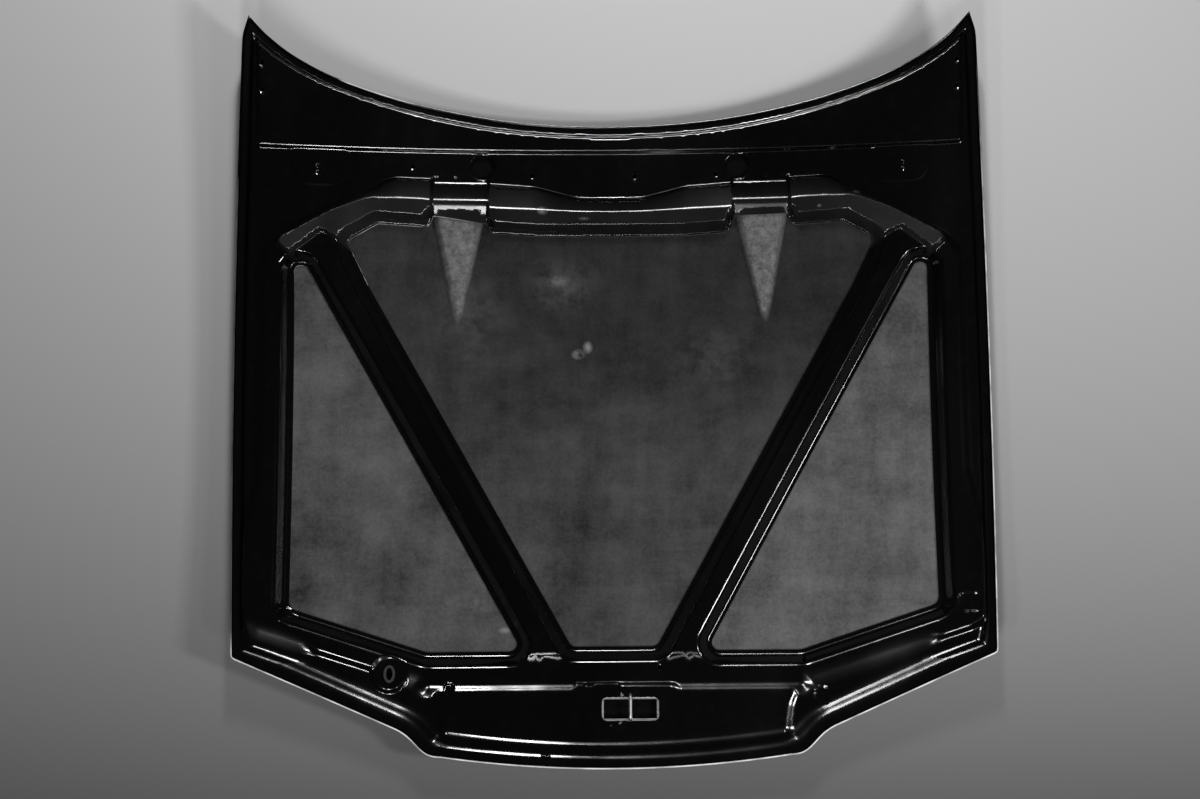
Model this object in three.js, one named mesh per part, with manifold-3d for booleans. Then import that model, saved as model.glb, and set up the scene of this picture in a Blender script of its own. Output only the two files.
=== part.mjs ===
// A car bonnet made of moulded laminate, lying on its outer skin with the inner frame up.
// Millimetres. X runs across the car, Y to the windscreen edge and Z up out of the underside.
// Plan sizes are measured from the middle of the line through the two front corners.
import * as THREE from 'three';
import { mergeVertices } from 'three/addons/utils/BufferGeometryUtils.js';
import Module from 'manifold-3d';

const wasm = await Module();
wasm.setup();

// Outline of the panel
const CORNER_X = 700;
const SIDE_BOW = 12;
const SIDE_WIDEST_Y = 560;
const TIP = { inset: 14, y: 1209 };
const SHOULDER = { y: 1165, inset: 2, rise: 12 };
const REAR_MIDDLE_Y = 1014;
const REAR_EDGE = [[195, 1024], [368, 1053], [510, 1094], [595, 1133], [650, 1172]];
const CORNER_RADIUS = 9;
const FLANK_POINTS = 12;
const NOSE_STEP = { outer: { x: 405, y: -131 }, inner: { x: 321, y: -183 } };
const NOSE_MIDDLE_Y = -207;

// Crown of the panel and the thickness of its mouldings
const CROWN_RADIUS_X = 3600;
const CROWN_RADIUS_Y = 4600;
const CROWN_LOW_Y = 480;
const SKIN = 3;
const FRAME = 3;
const GLUE_LINE = 0.8;
const RETURN_HEIGHT = 13;
const RETURN_GAP = 0.8;
const RIDGE_GAP = 1.2;
const FIT = 0.3;

// Openings of the inner frame
const RAIL_WIDTH = 109;
const STRUT = { footX: 128, footY: 15, headX: 512, headY: 700, width: 84 };
const WINDOW_FRONT_Y = 15;
const WINDOW_REAR_Y = 801;
const WINDOW_REAR_EDGE = [[145, 802], [233, 807], [350, 817], [447, 823]];
const WINDOW_CORNER = { x: 506, y: 788 };
const WINDOW_RADIUS = 14;
const TRIANGLE_FRONT_Y = 7;
const TRIANGLE_BEND_X = 348;
const TRIANGLE_CORNER_Y = 90;
const TRIANGLE_LEAN = 2;
const TRIANGLE_APEX_Y = 738;
const TRIANGLE_RADIUS = { front: 14, bend: 30, corner: 18, apex: 9 };

// Relief of the inner frame: distances from an edge, and heights above the skin
const OUTER_FLANGE = 16;
const OUTER_WALL = 11;
const WINDOW_FLANGE = 9;
const WINDOW_WALL = 13;
const BEAM_FLANGE = 4;
const BEAM_WALL = 11;
const BEAM_BLEND_Y = [740, 800];
const RIM_WIDTH = 45;
const RIM_SLOPE = 29;
const LIP_HEIGHT = 12;
const RIM_HEIGHT = 24;
const STRUT_HEIGHT = 29;
const FRONT_BEAM_HEIGHT = 25;
const FRONT_BEAM = { y: -48, wall: 8, fadeX: [338, 388], fadeY: [20, 55] };
const PLATFORM_HEIGHT = 20;
const REAR_HEIGHT = 22;
const SHELF_Y = 961;
const SHELF_STEP = 8;
const SIDE_LIP = 36;
const LIP_WALL = 10;
const STRUT_DECK = { windowSide: 30, railSide: 12, frontY: [-22, 6], rearY: [800, 830] };
const CROSS_BEAM_HEIGHT = 40;
const BRIDGE = { inner: 232, outer: 346, wall: 7, frontY: 813, creaseY: 861, rearY: 906, height: 34 };

// Raised areas of the frame, right half, each with the line of its foot and of its top
const CROSS_BEAM_FOOT = [
  [0, 760], [447, 780], [500, 760], [548, 800], [580, 768], [612, 746], [640, 772], [634, 791],
  [421, 913], [326, 911], [236, 904], [146, 898], [66, 877], [0, 875],
];
const CROSS_BEAM_TOP = [
  [0, 775], [447, 795], [505, 782], [556, 810], [588, 778], [610, 760], [626, 774],
  [621, 784], [530, 838], [462, 864], [363, 862], [222, 851], [57, 842], [0, 842],
];
const PLATFORM_FOOT = [[0, -44], [398, -44], [350, -95], [337, -178], [337, -230], [0, -230]];
const PLATFORM_TOP = [[0, -58], [326, -58], [312, -115], [304, -180], [304, -230], [0, -230]];

// Wedge recesses in the skin: outlines seen from above, right-hand one
const WEDGE_HEIGHT = 25;
const WEDGE_TIP_SHARE = 0.35;
const WEDGE_TIP_Y = 621;
const WEDGE_REAR_Y = 850;
const WEDGE_REAR_WALL = 14;
const WEDGE_FOOT = { tipX: 293, rearInner: 235, rearOuter: 349, inner: [-7, 12], outer: [15, 8] };
const WEDGE_TOP = { tipX: 291, tipY: 655, tipHalf: 1, rearInner: 252, rearOuter: 332 };

// Hinge pads, latch and prop rod hole
const PAD = { x: 556, y: 923, halfX: 46, halfY: 26, height: 16, blend: 8 };
const PAD_HOLES = { x: 559, y: [930, 917], radius: 3 };
const HINGE_PLATE = { thickness: 2.5, inset: 5, holeRadius: 2.5 };
const LATCH = { x: 28, y: -98.5, width: 104, depth: 41, radius: 9 };
const LATCH_PAD = { halfX: 84, halfY: 38, blend: 14 };
const LATCH_PLATE = { thickness: 2, marginX: 22, marginY: 14, overlap: 3 };
const STRIKER = { radius: 3.6, rise: 7, bend: 7, lift: 1.1, legs: [-73.5, -118], clearance: 0.9 };
const PROP_HOLE = { x: -414, y: -31, halfX: 8.2, halfY: 13.7, padRadius: 26, height: 20, blend: 12 };
const GROMMET = { wall: 2.4, brim: 2.2, brimThickness: 1.6, depth: 7 };

// Round holes through the frame
const DRAIN_HOLES = { x: 246, y: 933, radius: 24 };
const SMALL_RADIUS = 3.5;
const CORNER_HOLES = [[660, 1117], [660, 1067]];
const SINGLE_HOLES = [
  [-380, 932], [-151, 917], [47, 916], [205, 918], [350, -12], [83, -23], [-126, -180],
];

// Spacing of the mesh
const STEP = 50;
const SKIN_STEP = 85;
const FLOOR_STEP = 70;
const OPENING_CLEAR = 50;
const SHAKE = 1e-3;
const ARC_TURN = 0.6;
const BEND_TURN = 0.2;
const LEAST_MITRE = 0.25;
const UNFOLDED_SHARE = 0.97;
const SHORT_EDGE = 4;
const SPLIT_CLEAR = 0.5;
const GRID_CLEAR = 0.45;
const MERGE = { exact: 0.1, ridge: 1, wall: 3, line: 5, relief: 6, rim: 9 };
const EDGE_MARGIN = { line: 6, floor: 12, relief: 18 };
const DRILL = { low: -50, high: 250 };

const crown = ([x, y]) => x * x / (2 * CROWN_RADIUS_X) + (y - CROWN_LOW_Y) ** 2 / (2 * CROWN_RADIUS_Y);
const clamp = (value) => Math.min(1, Math.max(0, value));
const ramp = (value, from, to) => clamp((value - from) / (to - from));
const mix = (a, b, t) => a + (b - a) * t;
const mirror = (points) => points.map(([x, y]) => [-x, y]).reverse();
const span = (a, b) => Math.hypot(b[0] - a[0], b[1] - a[1]);

// Distance from a point to the line through some points, closed or open
function away(p, line, closed = true) {
  let least = Infinity;
  const count = closed ? line.length : line.length - 1;
  for (let i = 0; i < count; i += 1) {
    const a = line[i];
    const b = line[(i + 1) % line.length];
    const dx = b[0] - a[0];
    const dy = b[1] - a[1];
    const t = clamp(((p[0] - a[0]) * dx + (p[1] - a[1]) * dy) / (dx * dx + dy * dy || 1));
    least = Math.min(least, Math.hypot(p[0] - a[0] - dx * t, p[1] - a[1] - dy * t));
  }
  return least;
}

function inside([x, y], loop) {
  let within = false;
  for (let i = 0, j = loop.length - 1; i < loop.length; j = i, i += 1) {
    const [xi, yi] = loop[i];
    const [xj, yj] = loop[j];
    if (yi > y !== yj > y && x < (xj - xi) * (y - yi) / (yj - yi) + xi) within = !within;
  }
  return within;
}

// A closed loop with its corners rounded: each corner is [x, y, radius]
function rounded(corners) {
  const points = [];
  corners.forEach(([x, y, radius = 0], i) => {
    const before = corners[(i + corners.length - 1) % corners.length];
    const after = corners[(i + 1) % corners.length];
    if (radius === 0) {
      points.push([x, y]);
      return;
    }
    const u = new THREE.Vector2(before[0] - x, before[1] - y).normalize();
    const v = new THREE.Vector2(after[0] - x, after[1] - y).normalize();
    const half = Math.acos(u.dot(v)) / 2;
    const reach = radius / Math.tan(half);
    const turn = Math.PI - 2 * half;
    const pieces = Math.max(1, Math.round(turn / ARC_TURN));
    const middle = u.clone().add(v).normalize().multiplyScalar(radius / Math.sin(half));
    const start = u.clone().multiplyScalar(reach).sub(middle);
    const side = Math.sign(start.cross(v.clone().multiplyScalar(reach).sub(middle)));
    for (let k = 0; k <= pieces; k += 1) {
      const spoke = start.clone().rotateAround(new THREE.Vector2(), side * turn * k / pieces);
      points.push([x + middle.x + spoke.x, y + middle.y + spoke.y]);
    }
  });
  return points;
}

// Points along a line at even steps, with the corners that turn it kept
function evenly(line, step, closed = true) {
  const total = line.length;
  const bends = (i) => {
    if (!closed && (i === 0 || i === total - 1)) return true;
    const a = line[(i + total - 1) % total];
    const b = line[i];
    const c = line[(i + 1) % total];
    const turn = Math.atan2(c[1] - b[1], c[0] - b[0]) - Math.atan2(b[1] - a[1], b[0] - a[0]);
    return Math.abs(Math.atan2(Math.sin(turn), Math.cos(turn))) > BEND_TURN;
  };
  const corners = line.map((_, i) => i).filter(bends);
  const result = [];
  const stretches = closed ? corners.length : corners.length - 1;
  for (let s = 0; s < stretches; s += 1) {
    const run = [line[corners[s]]];
    const end = corners[(s + 1) % corners.length];
    for (let i = (corners[s] + 1) % total; ; i = (i + 1) % total) {
      run.push(line[i]);
      if (i === end) break;
    }
    const path = new THREE.CurvePath();
    run.slice(1).forEach((p, i) => {
      path.add(new THREE.LineCurve(new THREE.Vector2(...run[i]), new THREE.Vector2(...p)));
    });
    const pieces = Math.max(1, Math.ceil(path.getLength() / step));
    for (let k = 0; k < pieces; k += 1) result.push(path.getPointAt(k / pieces).toArray());
  }
  if (!closed) result.push(line[total - 1]);
  return result;
}

// The loop moved outwards by a distance, or inwards where it is negative, less the points that fold back
function offset(loop, distance, unfolded = true) {
  const clockwise = THREE.ShapeUtils.area(loop.map((p) => new THREE.Vector2(...p))) < 0 ? -1 : 1;
  return loop.map((p, i) => {
    const a = loop[(i + loop.length - 1) % loop.length];
    const b = loop[(i + 1) % loop.length];
    const u = new THREE.Vector2(p[1] - a[1], a[0] - p[0]).normalize();
    const v = new THREE.Vector2(b[1] - p[1], p[0] - b[0]).normalize();
    const n = u.add(v).normalize();
    const share = Math.max(LEAST_MITRE, n.dot(v));
    return [p[0] + clockwise * n.x * distance / share, p[1] + clockwise * n.y * distance / share];
  }).filter((q) => !unfolded || away(q, loop) > Math.abs(distance) * UNFOLDED_SHARE);
}

function outline() {
  const side = (y) => CORNER_X + SIDE_BOW - SIDE_BOW * ((y - SIDE_WIDEST_Y) / SIDE_WIDEST_Y) ** 2;
  const path = new THREE.Path();
  path.moveTo(-REAR_EDGE[0][0], REAR_EDGE[0][1]);
  const rearRun = [[0, REAR_MIDDLE_Y], ...REAR_EDGE, [CORNER_X - TIP.inset, TIP.y]];
  path.splineThru(rearRun.map((p) => new THREE.Vector2(...p)));
  const rear = path.getPoints(4).map((p) => p.toArray()).filter(([x]) => x >= 0);
  const flank = [[side(SHOULDER.y) - SHOULDER.inset, SHOULDER.y + SHOULDER.rise]];
  for (let i = 0; i < FLANK_POINTS; i += 1) {
    const y = mix(SHOULDER.y, CORNER_RADIUS * 2, i / (FLANK_POINTS - 1));
    flank.push([side(y), y]);
  }
  const { outer, inner } = NOSE_STEP;
  const slant = outer.y / (CORNER_X - outer.x);
  const corner = rounded([flank.at(-1), [side(0), 0, CORNER_RADIUS], [outer.x, outer.y]]);
  const middleX = (outer.x + inner.x) / 2;
  const bend = new THREE.CubicBezierCurve(
    new THREE.Vector2(outer.x, outer.y),
    new THREE.Vector2(middleX, outer.y + slant * (outer.x - middleX)),
    new THREE.Vector2(middleX, inner.y),
    new THREE.Vector2(inner.x, inner.y),
  ).getPoints(8).map((p) => p.toArray());
  const nose = new THREE.QuadraticBezierCurve(
    new THREE.Vector2(inner.x, inner.y),
    new THREE.Vector2(inner.x / 2, NOSE_MIDDLE_Y),
    new THREE.Vector2(0, NOSE_MIDDLE_Y),
  ).getPoints(6).map((p) => p.toArray());
  const half = [...rear, ...flank, ...corner.slice(1, -1), ...bend, ...nose.slice(1)];
  return [...half, ...mirror(half.slice(1, -1))];
}

// X of a strut's edge at a given Y: side is 1 for the edge by the rail and -1 for the other
function strutEdge(y, side) {
  const lean = (STRUT.headX - STRUT.footX) / (STRUT.headY - STRUT.footY);
  return STRUT.footX + (y - STRUT.footY) * lean + side * STRUT.width / 2 * Math.hypot(1, lean);
}

function triangle() {
  const outer = CORNER_X + SIDE_BOW - RAIL_WIDTH;
  return rounded([
    [strutEdge(TRIANGLE_FRONT_Y, 1), TRIANGLE_FRONT_Y, TRIANGLE_RADIUS.front],
    [TRIANGLE_BEND_X, TRIANGLE_FRONT_Y, TRIANGLE_RADIUS.bend],
    [outer - TRIANGLE_LEAN, TRIANGLE_CORNER_Y, TRIANGLE_RADIUS.corner],
    [outer, TRIANGLE_APEX_Y, TRIANGLE_RADIUS.apex],
    [strutEdge(TRIANGLE_APEX_Y, 1), TRIANGLE_APEX_Y, TRIANGLE_RADIUS.apex],
  ]);
}

function centre() {
  const half = [
    [strutEdge(WINDOW_FRONT_Y, -1), WINDOW_FRONT_Y, WINDOW_RADIUS],
    [strutEdge(STRUT.headY, -1), STRUT.headY],
    [WINDOW_CORNER.x, WINDOW_CORNER.y, WINDOW_RADIUS],
    ...[...WINDOW_REAR_EDGE].reverse(),
    [0, WINDOW_REAR_Y],
  ];
  const other = half.slice(0, -1).map(([x, y, radius]) => [-x, y, radius]).reverse();
  return rounded([...half, ...other]);
}

const panel = outline();
const rightTriangle = triangle();
const leftTriangle = mirror(rightTriangle);
const centreOpening = centre();
const frameEdge = offset(evenly(panel, STEP), -(SKIN + RETURN_GAP));

const wholeLoop = (half) => [...half, ...mirror(half).filter(([x]) => x !== 0)];
const crossBeam = { foot: wholeLoop(CROSS_BEAM_FOOT), top: wholeLoop(CROSS_BEAM_TOP) };
const platform = { foot: wholeLoop(PLATFORM_FOOT), top: wholeLoop(PLATFORM_TOP) };

const wedgeFoot = [
  [WEDGE_FOOT.rearInner, WEDGE_REAR_Y + WEDGE_REAR_WALL],
  [WEDGE_FOOT.tipX + WEDGE_FOOT.inner[0], WEDGE_TIP_Y + WEDGE_FOOT.inner[1]],
  [WEDGE_FOOT.tipX, WEDGE_TIP_Y],
  [WEDGE_FOOT.tipX + WEDGE_FOOT.outer[0], WEDGE_TIP_Y + WEDGE_FOOT.outer[1]],
  [WEDGE_FOOT.rearOuter, WEDGE_REAR_Y + WEDGE_REAR_WALL],
];
const wedgeTop = [
  [WEDGE_TOP.rearInner, WEDGE_REAR_Y], [WEDGE_TOP.tipX - WEDGE_TOP.tipHalf, WEDGE_TOP.tipY],
  [WEDGE_TOP.tipX + WEDGE_TOP.tipHalf, WEDGE_TOP.tipY], [WEDGE_TOP.rearOuter, WEDGE_REAR_Y],
];

// 0 outside the foot line, 1 inside the top line and an even slope between them
function mesa(p, foot, top) {
  if (!inside(p, foot)) return 0;
  if (inside(p, top)) return 1;
  const rise = away(p, foot);
  return rise / (rise + away(p, top));
}

// Height of a wedge recess, seen from below as a ridge that falls towards its tip
function wedge([x, y]) {
  const share = ramp(y, WEDGE_TIP_Y, WEDGE_REAR_Y);
  return WEDGE_HEIGHT * mix(WEDGE_TIP_SHARE, 1, share) * mesa([Math.abs(x), y], wedgeFoot, wedgeTop);
}

// Height of the frame's raised areas above the skin, before its flanges are pressed down
function deck(p) {
  const [x, y] = [Math.abs(p[0]), p[1]];
  const levels = [LIP_HEIGHT];
  const rimDistance = away([x, y], rightTriangle);
  levels.push(mix(RIM_HEIGHT, LIP_HEIGHT, ramp(rimDistance, RIM_WIDTH, RIM_WIDTH + RIM_SLOPE)));
  const beamFades = (1 - ramp(x, ...FRONT_BEAM.fadeX)) * (1 - ramp(y, ...FRONT_BEAM.fadeY));
  const beamShare = ramp(y, FRONT_BEAM.y - FRONT_BEAM.wall, FRONT_BEAM.y) * beamFades;
  levels.push(mix(LIP_HEIGHT, FRONT_BEAM_HEIGHT, beamShare));
  const besideStrut = x > strutEdge(y, -1) - STRUT_DECK.windowSide
    && x < strutEdge(y, 1) + STRUT_DECK.railSide;
  const strutFades = ramp(y, ...STRUT_DECK.frontY) * (1 - ramp(y, ...STRUT_DECK.rearY));
  const strutShare = besideStrut ? strutFades : 0;
  levels.push(mix(LIP_HEIGHT, STRUT_HEIGHT, strutShare));
  levels.push(mix(LIP_HEIGHT, PLATFORM_HEIGHT, mesa(p, platform.foot, platform.top)));
  const behindShelf = ramp(y, SHELF_Y - SHELF_STEP / 2, SHELF_Y + SHELF_STEP / 2);
  const insideLip = ramp(CORNER_X - x, SIDE_LIP - LIP_WALL, SIDE_LIP);
  levels.push(mix(LIP_HEIGHT, REAR_HEIGHT, behindShelf * insideLip));
  levels.push(mix(LIP_HEIGHT, CROSS_BEAM_HEIGHT, mesa(p, crossBeam.foot, crossBeam.top)));
  return Math.max(...levels);
}

// The frame's surface where it bridges a wedge: up to a crease, then down to the cut edge
function bridge([x, y]) {
  const { inner, outer, wall, frontY, creaseY, rearY } = BRIDGE;
  const height = y > creaseY
    ? mix(BRIDGE.height, LIP_HEIGHT, ramp(y, creaseY, rearY))
    : mix(BRIDGE.height, WEDGE_HEIGHT + GLUE_LINE, ramp(y, creaseY, frontY));
  const inward = Math.min(Math.abs(x) - inner, outer - Math.abs(x));
  const within = y > BEAM_BLEND_Y[1] && y < rearY + wall;
  return { height, share: within ? ramp(inward, 0, wall) : 0 };
}

// Flat seats that replace the crowned surface around them, each level with the crown at its middle
function seat(x, y, height) {
  const z = crown([x, y]) + SKIN + height;
  return ([px, py]) => z + (px - x) * x / CROWN_RADIUS_X + (py - y) * (y - CROWN_LOW_Y) / CROWN_RADIUS_Y;
}

const seats = [-1, 1].map((side) => ({
  plane: seat(side * PAD.x, PAD.y, PAD.height),
  share: ([x, y]) => 1 - ramp(
    Math.max(Math.abs(x - side * PAD.x) - PAD.halfX, Math.abs(y - PAD.y) - PAD.halfY), 0, PAD.blend),
}));
const latchSeat = seat(LATCH.x, LATCH.y, PLATFORM_HEIGHT);
seats.push({
  plane: latchSeat,
  share: ([x, y]) => 1 - ramp(Math.max(
    Math.abs(x - LATCH.x) - LATCH_PAD.halfX, Math.abs(y - LATCH.y) - LATCH_PAD.halfY), 0, LATCH_PAD.blend),
});
const propSeat = seat(PROP_HOLE.x, PROP_HOLE.y, PROP_HOLE.height);
seats.push({
  plane: propSeat,
  share: (p) => {
    const distance = span(p, [PROP_HOLE.x, PROP_HOLE.y]);
    return 1 - ramp(distance, PROP_HOLE.padRadius, PROP_HOLE.padRadius + PROP_HOLE.blend);
  },
});

function skinTop(p) {
  return crown(p) + SKIN + wedge(p);
}

function frameTop(p) {
  const blend = ramp(p[1], ...BEAM_BLEND_Y);
  const flange = mix(WINDOW_FLANGE, BEAM_FLANGE, blend);
  const wall = mix(WINDOW_WALL, BEAM_WALL, blend);
  const sides = Math.min(
    ramp(away(p, frameEdge), OUTER_FLANGE - SKIN, OUTER_FLANGE - SKIN + OUTER_WALL),
    ramp(away([Math.abs(p[0]), p[1]], rightTriangle), WINDOW_FLANGE, WINDOW_FLANGE + WINDOW_WALL),
    ramp(away(p, centreOpening), flange, flange + wall),
  );
  const over = bridge(p);
  const low = GLUE_LINE + FRAME;
  const ridge = wedge(p) > 0 ? wedge(p) + low + RIDGE_GAP : 0;
  const height = Math.max(mix(low, deck(p), sides), ridge);
  const covered = mix(height, Math.max(over.height, ridge), over.share);
  let z = crown(p) + SKIN + covered;
  seats.forEach(({ plane, share }) => { z = mix(z, plane(p), share(p)); });
  return z;
}

// Delaunay triangles of plan points
function delaunay(points) {
  const shaken = points.map(([x, y], i) => [x + SHAKE * Math.sin(i * 12.9), y + SHAKE * Math.cos(i * 78.2)]);
  const far = 1e5;
  const all = [...shaken, [-far, -far], [far, -far], [0, far]];
  const circle = (a, b, c) => {
    const [ax, ay] = all[a];
    const bx = all[b][0] - ax;
    const by = all[b][1] - ay;
    const cx = all[c][0] - ax;
    const cy = all[c][1] - ay;
    const d = 2 * (bx * cy - by * cx);
    const ux = (cy * (bx * bx + by * by) - by * (cx * cx + cy * cy)) / d;
    const uy = (bx * (cx * cx + cy * cy) - cx * (bx * bx + by * by)) / d;
    return { a, b, c, x: ax + ux, y: ay + uy, r: ux * ux + uy * uy };
  };
  let open = [circle(points.length, points.length + 1, points.length + 2)];
  const done = [];
  const order = points.map((_, i) => i).sort((i, j) => shaken[i][0] - shaken[j][0]);
  order.forEach((i) => {
    const [x, y] = shaken[i];
    const edges = new Map();
    const next = [];
    open.forEach((t) => {
      const dx = x - t.x;
      if (dx > 0 && dx * dx > t.r) {
        done.push(t);
      } else if (dx * dx + (y - t.y) ** 2 > t.r) {
        next.push(t);
      } else {
        [[t.a, t.b], [t.b, t.c], [t.c, t.a]].forEach(([p, q]) => {
          if (edges.has(`${q},${p}`)) edges.delete(`${q},${p}`);
          else edges.set(`${p},${q}`, [p, q]);
        });
      }
    });
    edges.forEach(([p, q]) => next.push(circle(p, q, i)));
    open = next;
  });
  return [...done, ...open].map(({ a, b, c }) => [a, b, c]).filter((t) => t.every((i) => i < points.length));
}

// Gathers plan points, and the lines that the triangles have to follow
class Plan {
  constructor() {
    this.points = [];
    this.edges = [];
  }

  add(p, clear) {
    const near = this.points.findIndex((q) => span(p, q) < clear);
    if (near >= 0) return near;
    this.points.push(p);
    return this.points.length - 1;
  }

  line(points, { closed = true, clear = MERGE.exact, keep = () => true } = {}) {
    const places = points.map((p) => (keep(p) ? this.add(p, clear) : null));
    places.forEach((place, i) => {
      const next = closed ? places[(i + 1) % places.length] : places[i + 1];
      if (place !== null && next != null) this.edges.push([place, next]);
    });
  }

  triangles() {
    for (let round = 0; ; round += 1) {
      const found = delaunay(this.points);
      const sides = found.flatMap(([a, b, c]) => [[a, b], [b, c], [c, a]]);
      const present = new Set(sides.map((side) => side.sort().join()));
      const edges = [];
      let missing = 0;
      this.edges.forEach(([a, b]) => {
        if (a === b) return;
        if (present.has([a, b].sort().join()) || span(this.points[a], this.points[b]) < SHORT_EDGE) {
          edges.push([a, b]);
          return;
        }
        missing += 1;
        const middle = this.points[a].map((v, k) => (v + this.points[b][k]) / 2);
        const m = this.add(middle, SPLIT_CLEAR);
        edges.push([a, m], [m, b]);
      });
      this.edges = edges;
      if (missing === 0 || round === 4) return found;
    }
  }
}

// A closed sheet between two surfaces, over the plan inside the outline and outside the holes
function sheet(plan, edge, holes, top, bottom) {
  const triangles = plan.triangles().filter((t) => {
    const [a, b, c] = t.map((i) => plan.points[i]);
    const middle = [(a[0] + b[0] + c[0]) / 3, (a[1] + b[1] + c[1]) / 3];
    return inside(middle, edge) && !holes.some((hole) => inside(middle, hole));
  });
  const used = [...new Set(triangles.flat())];
  const place = new Map(used.map((p, i) => [p, i]));
  const vertices = [];
  [top, bottom].forEach((surface) => used.forEach((i) => {
    const p = plan.points[i];
    vertices.push(p[0], p[1], surface(p));
  }));
  const under = used.length;
  const index = [];
  const border = new Map();
  triangles.forEach((t) => {
    const [a, b, c] = t.map((i) => place.get(i));
    index.push(a, b, c, c + under, b + under, a + under);
    [[a, b], [b, c], [c, a]].forEach(([p, q]) => {
      if (border.has(`${q},${p}`)) border.delete(`${q},${p}`);
      else border.set(`${p},${q}`, [p, q]);
    });
  });
  border.forEach(([p, q]) => index.push(p, p + under, q + under, p, q + under, q));
  return solid(vertices, index);
}

function solid(vertices, index) {
  return new wasm.Manifold(new wasm.Mesh({
    numProp: 3, vertProperties: new Float32Array(vertices), triVerts: new Uint32Array(index),
  }));
}

// The solid inside a closed geometry of three.js
function fromGeometry(geometry) {
  const bare = geometry.clone();
  bare.deleteAttribute('normal');
  bare.deleteAttribute('uv');
  const merged = mergeVertices(bare, 1e-3);
  return solid(merged.attributes.position.array, merged.index.array);
}

function toGeometry(body) {
  const mesh = body.getMesh();
  const geometry = new THREE.BufferGeometry();
  geometry.setAttribute('position', new THREE.BufferAttribute(mesh.vertProperties, 3));
  geometry.setIndex(new THREE.BufferAttribute(mesh.triVerts, 1));
  geometry.computeVertexNormals();
  return geometry;
}

// An upright prism over a loop, between two heights
function prism(loop, low, high) {
  const shape = new THREE.Shape(loop.map((p) => new THREE.Vector2(...p)));
  const geometry = new THREE.ExtrudeGeometry(shape, { depth: high - low, bevelEnabled: false });
  return fromGeometry(geometry.translate(0, 0, low));
}

function ring(x, y, radiusX, radiusY, sides) {
  return Array.from({ length: sides }, (_, i) => {
    const turn = (i + 0.5) / sides * 2 * Math.PI;
    return [x + radiusX * Math.cos(turn), y + radiusY * Math.sin(turn)];
  });
}

function box(x, y, halfX, halfY, radius = 0) {
  return rounded([
    [x - halfX, y - halfY, radius], [x + halfX, y - halfY, radius],
    [x + halfX, y + halfY, radius], [x - halfX, y + halfY, radius],
  ]);
}

// A flat plate that lies under a seat of the frame, with its holes cut
function plateUnder(plane, loop, holes, thickness) {
  const plan = new Plan();
  plan.line(evenly(loop, STEP));
  holes.forEach((hole) => plan.line(hole));
  const top = (p) => plane(p) - FRAME - FIT;
  return sheet(plan, loop, holes, top, (p) => top(p) - thickness);
}

function gridPoints(plan, step, clear, keep) {
  for (let x = -Math.ceil(CORNER_X / step) * step; x <= CORNER_X + step; x += step) {
    for (let y = NOSE_MIDDLE_Y; y <= TIP.y; y += step) {
      if (keep([x, y]) && !plan.points.some((q) => span([x, y], q) < clear)) plan.points.push([x, y]);
    }
  }
}

// The return flange: a band that stands up all round the edge of the skin
function returnFlange(edge) {
  const inner = offset(edge, -SKIN, false);
  const count = edge.length;
  const vertices = [];
  edge.forEach((p, i) => {
    const low = crown(p) + SKIN / 2;
    const high = crown(p) + RETURN_HEIGHT;
    vertices.push(...p, low, ...p, high, ...inner[i], high, ...inner[i], low);
  });
  const index = [];
  for (let i = 0; i < count; i += 1) {
    const next = (i + 1) % count;
    for (let k = 0; k < 4; k += 1) {
      const [a, b, c, d] = [4 * i + k, 4 * i + (k + 1) % 4, 4 * next + (k + 1) % 4, 4 * next + k];
      index.push(a, b, c, a, c, d);
    }
  }
  return solid(vertices, index);
}

function outerSkin() {
  const plan = new Plan();
  const edge = evenly(panel, STEP);
  plan.line(edge);
  [1, -1].forEach((side) => {
    [wedgeFoot, wedgeTop].forEach((loop) => {
      plan.line(evenly(loop, STEP).map(([x, y]) => [side * x, y]), { clear: MERGE.ridge });
    });
  });
  gridPoints(plan, SKIN_STEP, SKIN_STEP * GRID_CLEAR, (p) => inside(p, edge));
  const shell = sheet(plan, edge, [], skinTop, (p) => crown(p) + wedge(p));
  return shell.add(returnFlange(edge));
}

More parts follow.
